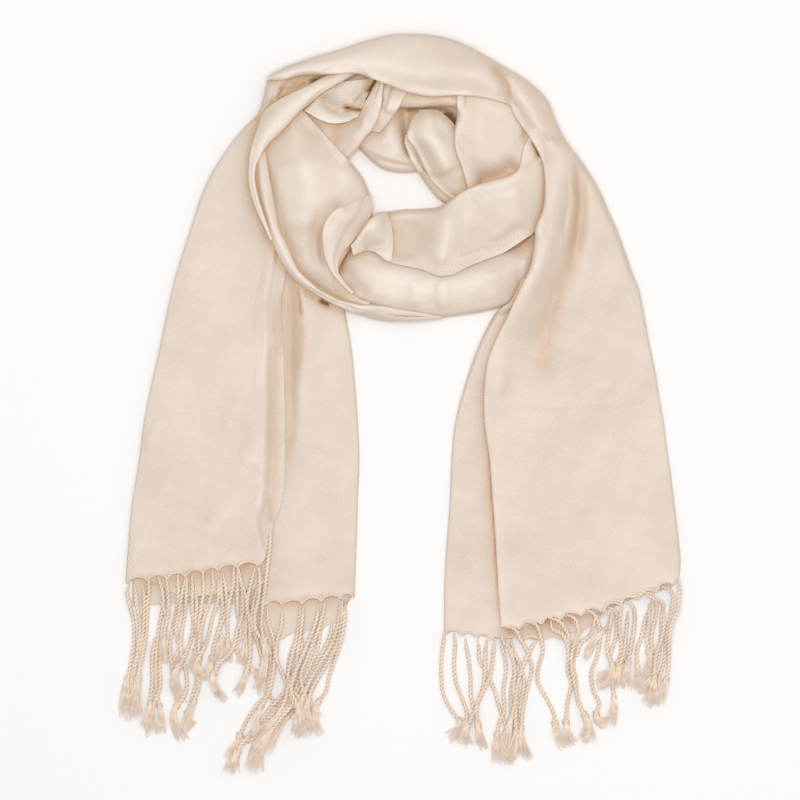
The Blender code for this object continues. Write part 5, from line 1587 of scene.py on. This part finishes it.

# What is pressed into each sheet: a path, its depth (a ridge has a positive one), its width to the
# left and to the right of its way, and its tone where it has one:
# above 0 warm shade is painted along it as in a hollow, below 0 a pale highlight is painted
# on the nap.
CREASES = {
"left_tail_back": (
    (((-120.5, -167.5), (-98, -165), (-75, -162.5), (-47, -159)), 0, 4, 9, 0.3),
    (((-51, -168.5), (-45, -166), (-40, -162.5), (-36.5, -158)), 0, 3, 3, 0.6),
    (((-94.5, 109), (-93.5, 58), (-95, -18.5), (-98.5, -78)), -0.2, 6, 6, 0.28),
    (((-92.5, 117.5), (-92, 92), (-92.5, 58), (-94.5, 7)), 0, 9, 10, 0.3),
    (((-87, 105.5), (-85, 89), (-83, 75)), -0.3, 1.4, 2.2, 0.62),
    (((-83, 76.5), (-85, 49.5), (-88.5, 24)), -0.2, 5, 1.8, 0.3),
    (((-83.5, 100.5), (-76.5, 96), (-69, 92)), -0.8, 3.4, 3, 0.55),
    (((-70.5, 93), (-64.5, 89.5), (-58, 87)), -1.2, 3.4, 3.2, 1),
    (((-93.5, 119), (-92.5, 66.5), (-94.5, 7), (-96, -52.5)), -2.2, 4.5, 3.5),
    (((-85, 113), (-81.5, 75), (-84, 32.5), (-86.5, -18.5)), 1.3, 9, 3),
    (((-59.5, 66.5), (-52.5, -10), (-51, -95), (-52.5, -146)), 0.5, 10, 10),
),
"left_tail_front": (
    (((-239.5, -149), (-212.5, -146), (-190.5, -143.5), (-166, -139.5), (-145.5, -136),
     (-117.5, -132.5), (-105.5, -131)), 0, 4, 10, 0.42),
    (((-225, -149), (-220, -146), (-215, -149.5)), 0, 4, 5, 0.55),
    (((-166, -143.5), (-160.5, -139.5), (-155.5, -146)), 0, 3, 7, 0.58),
    (((-150.5, -140), (-144.5, -136), (-138.5, -139.5)), 0, 3, 12, 0.58),
    (((-133.5, -132.5), (-127.5, -131), (-121.5, -134.5)), 0, 1.5, 9, 0.62),
    (((-106, 109), (-106, 58), (-108, 7), (-107, -44), (-109.5, -100.5)), -0.5, 4.5, 4, 0.26),
    (((-101, 105.5), (-101, 75), (-101, 41)), 0, 5, 4, 0.28),
    (((-110, -71.5), (-110.5, -100.5)), -0.3, 3, 3, 0.3),
    (((-212.5, -7), (-183, -2.5), (-157, 2.5), (-127.5, 4)), 0.5, 3, 2),
    (((-149, 219.5), (-161.5, 177), (-173.5, 126), (-180, 75)), 0.8, 14, 10),
    (((-127.5, 168.5), (-131, 117.5), (-129, 66.5)), -0.9, 9, 9),
),
"neck_back": (
    (((-3.5, 253.5), (17, 253.5), (34, 254), (49.5, 251)), -1, 3.5, 3.5, 0.85),
    (((32.5, 251.5), (42.5, 248), (47.5, 240.5), (49.5, 229.5)), -1, 7, 7, 1),
    (((4, 251.5), (5, 236.5), (7, 222.5), (12, 209)), -1, 4, 4, 0.5),
    (((-41, 226), (-30.5, 216), (-18.5, 211), (-3.5, 208.5), (15.5, 205.5)), -0.5, 0.9, 0.9, 0.3),
    (((-17, 233), (-7, 226), (-1.5, 214)), 0.5, 6, 6, -0.8),
    (((-97, 275.5), (-83.5, 277), (-69.5, 279)), -0.5, 4, 4, 0.6),
    (((4, 262), (5, 236.5), (11, 211)), -6, 7, 5),
    (((-36.5, 225), (-24, 217.5), (-12, 212.5), (0, 209), (15.5, 205.5)), 1.4, 10, 0.9),
    (((-7, 255), (-8.5, 236.5), (-14.5, 219.5)), 1.6, 5, 6),
    (((-24, 238), (-13.5, 228), (-4, 214)), -1, 4, 4),
),
"neck_puff": (
    (((13.5, 245), (25.5, 231), (37.5, 217.5), (44, 204)), 0.1, 10, 10, -0.6),
    (((22, 199), (32.5, 197), (44, 200.5), (54.5, 205.5)), -0.7, 2, 2, 0.25),
    (((41.5, 262), (47, 246.5), (52.5, 232)), -3, 4, 5),
    (((10, 240.5), (22, 229.5), (34, 211), (41, 195.5)), 1.8, 8, 4),
    (((27, 258.5), (30.5, 241.5), (41, 222.5)), -1.2, 4, 4),
),
"loop_right": (
    (((64.5, 190.5), (76.5, 194.5), (89, 200), (101, 210)), -0.5, 7, 2.5, 0.2),
    (((110.5, 229.5), (114, 222), (119, 210)), -1, 3.6, 3.6, 1),
    (((111.5, 230.5), (105.5, 221), (103, 212.5), (100.5, 202.5)), -0.1, 4, 3, -0.3),
    (((59.5, 258.5), (76.5, 256.5), (93.5, 250)), 0.2, 7, 7, -0.4),
    (((59.5, 190.5), (73, 194), (87.5, 199), (102, 209)), -5, 9, 6),
    (((102, 255), (108, 238), (105.5, 221)), -2.5, 4, 5),
    (((66.5, 251.5), (69.5, 228), (64.5, 204)), 1, 9, 9),
),
"loop_front_lower": (
    (((-43.5, 135), (-47.5, 127.5), (-51, 120.5), (-52, 112)), -0.8, 4.5, 4.5, 0.75),
    (((-34, 115.5), (-8.5, 105.5), (21, 99.5), (55, 102), (85, 115.5)), 0.2, 14, 14, -0.95),
    (((85, 131), (100.5, 137.5), (115.5, 149.5)), -0.5, 2.4, 2.4, 0.8),
    (((90, 132.5), (102, 135), (114, 143), (115, 124)), -0.6, 6, 6, 0.45),
    (((30.5, 109.5), (30.5, 96), (32.5, 81.5)), -0.3, 1.5, 1.5, 0.12),
    (((106, 129), (104.5, 119), (105.5, 107)), 1.2, 3, 3, -0.9),
    (((12, 110.5), (13.5, 98.5), (13, 86)), 1.5, 3, 5),
    (((39, 112), (38, 98.5), (39, 82.5)), 1.5, 2.5, 6),
    (((25.5, 109), (26.5, 96), (25.5, 84)), -1, 4, 4),
    (((-47.5, 124), (-41, 105.5), (-24, 93.5)), -2, 6, 6),
    (((76.5, 117.5), (80, 102), (78, 90)), 0.9, 6, 4),
    (((-17, 119), (0, 115.5), (21, 109)), 1.2, 6, 6),
),
"loop_front_upper": (
    (((0, 163), (5, 144.5), (15.5, 127.5)), -0.2, 17, 17, 0.14),
    (((105.5, 212.5), (107, 221), (112, 231)), -2.5, 4, 4),
    (((112, 229.5), (115, 222), (120, 210)), -1, 3.6, 3.6, 1),
    (((102, 203), (104.5, 212.5), (107, 221), (111.5, 229.5)), -0.1, 3, 4, -0.3),
    (((47.5, 165), (76.5, 170), (103.5, 180)), 0.2, 12, 12, -0.5),
    (((38, 165), (39, 147), (35, 124)), 0.2, 6, 6, -0.45),
    (((39, 172.5), (40, 155.5), (36.5, 136), (34, 115.5)), 2, 5, 12),
    (((10, 161.5), (8.5, 143), (10, 124)), -1.3, 12, 9),
    (((63, 171.5), (85, 178.5), (105.5, 185.5)), 1.6, 7, 7),
    (((69.5, 132.5), (89, 143), (107, 158)), -2.2, 5, 7),
    (((44, 124), (68, 132.5), (90, 139.5)), 1.5, 3, 8),
),
"loop_left": (
    (((-114, 219.5), (-111, 200.5), (-107.5, 181), (-104, 160), (-96, 138.5)), -0.8, 1.2, 1, 0.55),
    (((-98.5, 240.5), (-85, 232), (-66.5, 222.5)), 0.3, 9, 9, 0.14),
    (((-92, 211), (-86.5, 181), (-81.5, 151.5)), 0.3, 17, 17, -0.9),
    (((-68, 177), (-71.5, 158), (-71.5, 141), (-66.5, 124)), -0.8, 2.5, 8, 0.16),
    (((-52.5, 171.5), (-43.5, 174), (-34, 177.5), (-24, 183.5)), -0.1, 5, 5, -0.3),
    (((-51, 202.5), (-41, 189.5), (-34, 177)), 0.2, 9, 9, -0.4),
    (((-41, 177), (-58, 166.5), (-69.5, 149.5), (-70.5, 132.5), (-64.5, 113)), -4, 3, 8),
    (((-86.5, 219.5), (-80, 194), (-78, 168.5), (-83.5, 143)), 1.8, 9, 9),
    (((-59.5, 219.5), (-46, 200.5), (-41, 181)), 1.2, 7, 7),
    (((-110.5, 206.5), (-105.5, 177), (-97, 147), (-86.5, 124)), -1.5, 3, 6),
),
"loop_curl": (
    (((-51, 256), (-44, 254.5), (-37.5, 253), (-27, 251)), -2, 1.6, 2.6, 1),
    (((-29, 264.5), (-24.5, 271), (-17, 282)), -3, 3.6, 3.6, 1),
    (((-37.5, 250), (-33, 258.5), (-29, 265)), -2, 3, 3.5, 0.35),
    (((-64, 268), (-64, 260), (-58.5, 252.5), (-50, 249)), -1, 3, 3, 0.1),
    (((-75, 258.5), (-69.5, 251.5), (-59.5, 245.5), (-47, 245)), 0.4, 3, 3, -0.4),
    (((-64.5, 268), (-61, 258.5), (-52.5, 251.5), (-41, 249)), -3.2, 5, 4),
    (((-47.5, 256), (-41, 253.5), (-31.5, 251.5)), -2.5, 2, 3),
    (((-56, 273.5), (-49.5, 263.5), (-37.5, 258.5)), 1.2, 6, 5),
    (((-76.5, 251.5), (-64.5, 244), (-51, 243), (-41, 247.5)), 0.6, 2.5, 2.5),
    (((-30, 268.5), (-24, 273.5), (-17, 277)), -2, 4, 4),
),
"loop_twist": (
    (((-41, 137), (-27, 149.5), (-13.5, 161.5)), 2, 5, 6),
    (((-32.5, 132.5), (-20.5, 137.5), (-10, 139.5)), -1.6, 4, 4),
    (((-10, 165), (-8.5, 153), (-9.5, 127.5)), 1, 1.6, 1.6),
),
"loop_tuck": (
    (((-43.5, 137), (-48.5, 128.5), (-52, 120.5)), -0.5, 3, 3, 0.5),
    (((-54.5, 173.5), (-42.5, 177), (-34, 181), (-24, 187)), -0.1, 5, 9, 0.12),
    (((-56, 158), (-58.5, 143), (-58, 129)), 0.1, 5, 5, -0.2),
    (((-46, 171), (-56, 166), (-64, 153), (-64.5, 136), (-61, 119)), 1, 1.5, 3),
    (((-51, 172.5), (-42.5, 174), (-32.5, 179.5), (-22, 185.5)), -2.4, 6, 6),
    (((-46, 158), (-51, 143), (-54.5, 124)), -1.2, 5, 5),
),
"corner_folds": (
    (((-81.5, 276.5), (-71.5, 278.5), (-59.5, 280.5), (-49.5, 282)), -2.5, 3, 4, 1),
    (((-92, 275.5), (-83.5, 276.5), (-75, 278)), -1.5, 2.5, 3, 0.5),
    (((-101, 277), (-101, 268.5), (-108, 256.5)), -1.2, 1.3, 1.3, 0.46),
    (((-92.5, 273.5), (-95, 267), (-100.5, 260)), -1, 1.3, 1.3, 0.42),
    (((-109.5, 275.5), (-109.5, 268.5), (-112, 260)), 1.5, 1.8, 1.2),
    (((-103, 275.5), (-103.5, 267), (-108, 256.5)), 1.8, 1.8, 1.2),
    (((-97, 275.5), (-98.5, 267), (-103.5, 256.5)), -1.8, 1.6, 1.6),
    (((-92, 275.5), (-94.5, 268.5), (-99.5, 262)), 1.6, 1.8, 1.6),
),
"crossing": (
    (((76.5, 296), (87.5, 285.5), (93.5, 273.5), (94.5, 253.5)), 1.8, 9, 2.2, -0.2),
    (((75, 294), (86, 284), (92, 272), (93, 251.5)), -0.5, 1.6, 5, 0.42),
    (((148, 212.5), (151.5, 177), (147, 134.5), (138.5, 94.5)), -0.3, 8, 7, 0.34),
    (((143.5, 131), (137.5, 107), (132, 83.5), (125, 53.5), (120, 15.5)), 0, 9, 15, 0.24),
    (((-93.5, 285.5), (-51, 296), (0, 299), (42.5, 296)), 0.2, 20, 20, -0.8),
    (((0, 270.5), (34, 267), (68, 265)), 0.1, 3, 3, -0.5),
    (((109, 253.5), (123, 228), (132.5, 194), (131, 151.5), (117.5, 104.5)), 0.3, 8, 8, 0.05),
    (((78, 290.5), (86.5, 279.5), (92, 268), (93.5, 251.5)), -3.2, 6, 7),
    (((-85, 282), (-51, 290.5), (-8.5, 287.5), (34, 275.5)), 1.2, 9, 9),
    (((0, 302.5), (34, 297.5), (68, 285.5)), -0.9, 9, 9),
    (((96, 270.5), (110.5, 251.5), (122.5, 228)), 2, 6, 6),
    (((120.5, 229.5), (129, 229.5), (137.5, 226)), -1.8, 2.5, 2.5),
    (((147, 219.5), (151.5, 194), (153, 172.5), (150.5, 147), (144.5, 121.5)), -4.2, 7, 5),
    (((150.5, 143), (144.5, 117.5), (136, 92), (126, 66.5), (117.5, 41)), -1.5, 10, 12),
    (((124, 211), (131, 181), (129, 151.5), (120, 124), (107, 98.5), (97, 70.5)), 2.4, 8, 7),
    (((141, 211), (143, 177), (137.5, 143)), -1.2, 3, 3),
    (((166.5, 185.5), (185.5, 134.5), (199, 75), (207.5, 7)), 0.7, 10, 12),
    (((69.5, 7), (119, 1.5), (170, 3.5), (217, 8.5)), 0.5, 3, 2),
    (((149, 8.5), (166.5, 17), (185.5, 20.5)), 0.8, 6, 6),
    (((89, 66.5), (83.5, 7), (86.5, -52.5)), 0.8, 6, 8),
    (((136, -10), (141, -78), (146, -146)), 0.4, 14, 14),
),
"loop_roll": (
    (((-120.5, 211), (-121, 194), (-118.5, 178.5), (-114, 163), (-109, 146)), -0.8, 1.3, 1.3, 0.42),
    (((-93.5, 130), (-85, 117), (-69, 101.5), (-52.5, 92.5), (-34, 88),
     (-17, 85)), -0.2, 0.9, 1.2, 0.6),
    (((-85, 109), (-68, 93.5), (-47, 84), (-17, 78), (17, 76.5)), 0.1, 4, 4, -0.7),
),
"loop_edge": (
    (((-54.5, 281.5), (-69.5, 273), (-85, 262.5), (-98, 251), (-109, 238),
     (-117.5, 222.5)), 0.4, 4, 4, -0.6),
    (((-59.5, 273), (-71.5, 265), (-82.5, 253.5), (-93.5, 241.5)), -0.5, 1.2, 1.2, 0.25),
),
"neck_strip_left": (
    (((-18.5, 268.5), (-22, 255), (-29, 241.5), (-41, 222.5)), 0.3, 5, 4, -0.6),
    (((-53.5, 246.5), (-56, 235.5), (-56, 221)), -1.4, 8, 6, 0.34),
    (((-81.5, 248), (-73, 241.5), (-63, 233)), -0.6, 5, 5, 0.16),
),
"neck_strip_mid": (
    (((-5, 267), (-10, 255), (-18.5, 243)), 0.3, 4, 4, -0.3),
),
"neck_rim": (
    (((6, 228), (8.5, 217.5), (14.5, 205.5)), 0.2, 2, 2, -0.5),
),
"neck_edge": (
    (((-7, 262), (17, 261), (42.5, 261)), -0.2, 6, 6, 0.2),
),
"right_tail_side": (
    (((73, -192), (89, -188), (109, -183.5), (129, -179.5), (149.5, -175), (170, -170),
     (190.5, -161.5)), 0, 4, 10, 0.48),
    (((85, 70.5), (74, 7), (78, -67), (82.5, -129), (86, -194)), -0.2, 2.6, 2.6, 0.74),
    (((85, 70.5), (74, 7), (78, -67), (82.5, -129), (86, -194)), 0, 8, 9, 0.2),
    (((87.5, -192), (92.5, -188), (98, -194)), 0, 3, 7, 0.62),
    (((120, -183.5), (125, -178.5), (130, -185.5)), 0, 2, 12, 0.66),
    (((137.5, -180), (143.5, -178.5), (149.5, -183.5)), 0, 2, 7, 0.64),
    (((54.5, 10), (63, -1.5), (73, -7)), 0.5, 3, 3),
    (((59.5, 24), (56, -44), (58, -112)), 0.5, 8, 8),
    (((75, 58), (70.5, 7), (75, -52.5), (79, -129)), -0.8, 5, 3),
),
}

# each run of fringe and the stretch whose hem it grows from
FRINGES = {
    "left_back_fringe": "left_tail_back",
    "left_front_fringe": "left_tail_front",
    "right_side_fringe": "right_tail_side",
    "right_front_fringe": "right_tail_front",
}

# the neck loop's stretches, in the order in which they are laid
LOOP = ("neck_back", "neck_rim", "neck_puff", "neck_edge", "neck_strip_mid", "neck_strip_left",
        "loop_right", "loop_front_lower", "loop_front_upper", "loop_left", "loop_tuck",
        "loop_twist", "loop_roll", "loop_curl", "corner_folds", "loop_edge")


def colour_setting(name, description, default):
    """A colour that a user may change."""
    return bpy.props.FloatVectorProperty(name=name, description=description, default=default,
                                         subtype="COLOR", size=3, min=0.0, max=1.0)


def length_setting(name, description, default, least, most, precision=4):
    """A length that a user may change."""
    return bpy.props.FloatProperty(name=name, description=description, default=default,
                                   min=least, max=most, precision=precision, unit="LENGTH")


class ShawlSettings(bpy.types.PropertyGroup):
    """Sizes and colours that a user would change."""

    cloth: length_setting(
        "Cloth", "Thickness of the twill with its nap",
        CLOTH, 0.0005, 0.003)
    twill_pitch: length_setting(
        "Twill pitch", "From one slanting rib of the twill to the next",
        0.00183, 0.0005, 0.01, 5)
    twill_slope: bpy.props.FloatProperty(
        name="Twill slope", description="Slant of the ribs against the weft, in degrees",
        default=32.0, min=0.0, max=90.0)
    rib_colour: colour_setting(
        "Rib colour", "Colour of the twill's ribs", (0.676, 0.570, 0.476))
    groove_colour: colour_setting(
        "Groove colour", "Colour between the twill's ribs", (0.625, 0.519, 0.425))
    # painted shade: the next three colours are painted where the cloth lies in crevices and folds
    crevice_shade_tint: colour_setting(
        "Crevice tint", "What light between two plies does to the cloth's colour",
        (0.98, 0.83, 0.65))
    fold_shade_colour: colour_setting(
        "Fold colour", "Colour of the cloth in the mouth of a fold", (0.52, 0.34, 0.21))
    hollow_shade_colour: colour_setting(
        "Hollow colour", "Colour of the cloth deep inside a fold", (0.16, 0.070, 0.035))
    # painted glow: emission where an edge turns down, in place of light through the cloth
    edge_painted_glow: colour_setting(
        "Edge glow", "Light that shines through the cloth where it turns down",
        (0.10, 0.068, 0.045))
    # painted highlight: a crest is painted paler and a trough darker, as the light on the nap would
    # make them
    crest_painted_light: bpy.props.FloatProperty(
        name="Crest bloom",
        description="How much paler the silky nap is on a crest than on the flat",
        default=0.09, min=0.0, max=0.2)
    # the colour and share of the painted highlight on crests
    crest_highlight_colour: colour_setting(
        "Crest colour", "Colour that the silky nap turns to on a crest", (0.80, 0.735, 0.68))
    crest_highlight_share: bpy.props.FloatProperty(
        name="Crest paleness", description="How far the nap turns to the crest colour",
        default=0.35, min=0.0, max=1.0)
    cord_width: length_setting(
        "Cord width", "Width of a twisted cord of the fringe",
        0.0038, 0.001, 0.01)
    twist_pitch: length_setting(
        "Twist pitch", "Length of one full turn of a cord's two plies",
        0.0072, 0.002, 0.05)
    knot_width: length_setting(
        "Knot width", "Width of the knot that ends a cord",
        0.0062, 0.002, 0.02)
    fibres: bpy.props.IntProperty(
        name="Fibres", description="Loose fibres drawn in each brush", default=70, min=5, max=300)
    fibre_width: length_setting(
        "Fibre width", "Width of a drawn fibre at its root",
        0.00045, 0.0001, 0.002, 5)
    cord_colour: colour_setting(
        "Cord colour", "Colour of the fringe's yarn", (0.86, 0.71, 0.58))
    # painted shade in the groove between a cord's plies
    cord_groove_shade: colour_setting(
        "Cord shade", "Colour in the groove between a cord's plies", (0.57, 0.42, 0.31))
    fibre_colour: colour_setting(
        "Fibre colour", "Colour of the loose ends", (0.94, 0.81, 0.69))
    fibre_shade: colour_setting(
        "Fibre shade", "Colour of the darkest of the loose ends", (0.76, 0.60, 0.46))
    floor_colour: colour_setting(
        "Floor colour", "Colour of the surface that the shawl lies on", (0.815, 0.81, 0.81))


class SHAWL_OT_left_tail(bpy.types.Operator):
    """Lay the left tail: its back panel, then the front one folded over it"""

    bl_idname = "shawl.left_tail"
    bl_label = "Left tail"

    def execute(self, context):
        lay("left_tail_back", turn=14.0)
        lay("left_tail_front", rests_on=["left_tail_back_cloth"])
        return {"FINISHED"}


class SHAWL_OT_loop(bpy.types.Operator):
    """Lay the loop round the neck, from its back to its outermost folds"""

    bl_idname = "shawl.loop"
    bl_label = "Neck loop"

    def execute(self, context):
        for node, below in zip(LOOP, ("left_tail_front", *LOOP)):
            lay(node, rests_on=[below + "_cloth"])
        return {"FINISHED"}


class SHAWL_OT_right_tail(bpy.types.Operator):
    """Lay the right tail's side panel, then the band over the top and down its front"""

    bl_idname = "shawl.right_tail"
    bl_label = "Top band and right tail"

    def execute(self, context):
        lay("right_tail_side", turn=40.0)
        lay("top_band", "right_shoulder", "right_tail_front", turn=-64.0,
            rests_on=["loop_edge_cloth", "right_tail_side_cloth"])
        paint_light_and_shade()
        return {"FINISHED"}


class SHAWL_OT_fringe(bpy.types.Operator):
    """Twist, knot and brush out the tassels along the four runs of hem"""

    bl_idname = "shawl.fringe"
    bl_label = "Fringe"

    def execute(self, context):
        settings = context.scene.shawl
        grow = tassel_tree()
        inputs = {
            "Cord Width": settings.cord_width,
            "Twist Pitch": settings.twist_pitch,
            "Knot Width": settings.knot_width,
            "Fibres": settings.fibres,
            "Fibre Width": settings.fibre_width,
            "Cord Finish": cord_material(settings),
            "Fibre Finish": fibre_material(settings),
        }
        bed = CordBed()
        for seed, (node, stretch) in enumerate(FRINGES.items()):
            tassels = [Tassel(*each) for each in TASSELS[node]]
            threads = hem_threads(HEMS[stretch], Row(*STRETCHES[stretch][-1]))
            piece = fringe_object(node + "_tassels", bed, tassels, threads, grow,
                                  {**inputs, "Seed": seed})
            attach(piece, BODY)
            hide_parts(node)
        return {"FINISHED"}


# the stage
FLOOR_REACH = 3.0
FLOOR_Z = -0.0004
LENS = 250.0
SENSOR = 36.0
FRAME_WIDTH = 0.68
FRAME_CENTRE_Y = 0.0068
FRAME_Z = 0.008
WORLD_COLOUR = (1.0, 0.99, 0.98, 1.0)
WORLD_STRENGTH = 0.55
LAMPS = (
    ("key_light", (-0.083, 0.167, 4.5), (1.83, 1.83), 121.5),
    ("fill_light", (1.3, 0.9, 2.2), (1.2, 1.2), 8.0),
)


class SHAWL_OT_stage(bpy.types.Operator):
    """Set out the floor, the soft light and the camera straight above"""

    bl_idname = "shawl.stage"
    bl_label = "Stage"

    def execute(self, context):
        settings = context.scene.shawl
        mesh = bpy.data.meshes.new("floor")
        corners = ((-1, -1), (1, -1), (1, 1), (-1, 1))
        mesh.from_pydata([(FLOOR_REACH * x, FLOOR_REACH * y, FLOOR_Z) for x, y in corners],
                         [], [(0, 1, 2, 3)])
        floor = bpy.data.objects.new("floor", mesh)
        context.scene.collection.objects.link(floor)
        paper = Finish("pale_floor")
        paper.surface({"Base Color": opaque(settings.floor_colour), "Roughness": 0.9})
        mesh.materials.append(paper.material)
        for name, place, size, power in LAMPS:
            lamp = bpy.data.lights.new(name, "AREA")
            lamp.shape = "RECTANGLE"
            lamp.size, lamp.size_y = size
            lamp.energy = power
            thing = bpy.data.objects.new(name, lamp)
            thing.location = place
            thing.rotation_euler = (-Vector(place)).to_track_quat("-Z", "Y").to_euler()
            context.scene.collection.objects.link(thing)
        world = bpy.data.worlds.new("studio")
        world.use_nodes = True
        sky = world.node_tree.nodes["Background"].inputs
        sky["Color"].default_value = WORLD_COLOUR
        sky["Strength"].default_value = WORLD_STRENGTH
        context.scene.world = world
        lens = bpy.data.cameras.new("camera")
        lens.lens = LENS
        lens.sensor_width = SENSOR
        lens.clip_end = 50.0
        camera = bpy.data.objects.new("camera", lens)
        camera.location = (0.0, FRAME_CENTRE_Y, FRAME_Z + FRAME_WIDTH * LENS / SENSOR)
        context.scene.collection.objects.link(camera)
        context.scene.camera = camera
        context.scene.view_settings.view_transform = "Standard"
        return {"FINISHED"}


class SHAWL_PT_panel(bpy.types.Panel):
    """The shawl's settings and the buttons that build it"""

    bl_label = "Shawl"
    bl_idname = "SHAWL_PT_panel"
    bl_space_type = "VIEW_3D"
    bl_region_type = "UI"
    bl_category = "Shawl"

    def draw(self, context):
        settings = context.scene.shawl
        for name in settings.bl_rna.properties.keys():
            if name not in ("rna_type", "name"):
                self.layout.prop(settings, name)
        for operator in OPERATORS:
            self.layout.operator(operator.bl_idname)


OPERATORS = (SHAWL_OT_left_tail, SHAWL_OT_loop, SHAWL_OT_right_tail, SHAWL_OT_fringe,
             SHAWL_OT_stage)
CLASSES = (ShawlSettings, *OPERATORS, SHAWL_PT_panel)


def register():
    for cls in CLASSES:
        bpy.utils.register_class(cls)
    bpy.types.Scene.shawl = bpy.props.PointerProperty(type=ShawlSettings)


def unregister():
    del bpy.types.Scene.shawl
    for cls in reversed(CLASSES):
        bpy.utils.unregister_class(cls)


def main():
    register()
    bpy.ops.shawl.left_tail()
    bpy.ops.shawl.loop()
    bpy.ops.shawl.right_tail()
    bpy.ops.shawl.fringe()
    bpy.ops.shawl.stage()


if __name__ == "__main__":
    main()
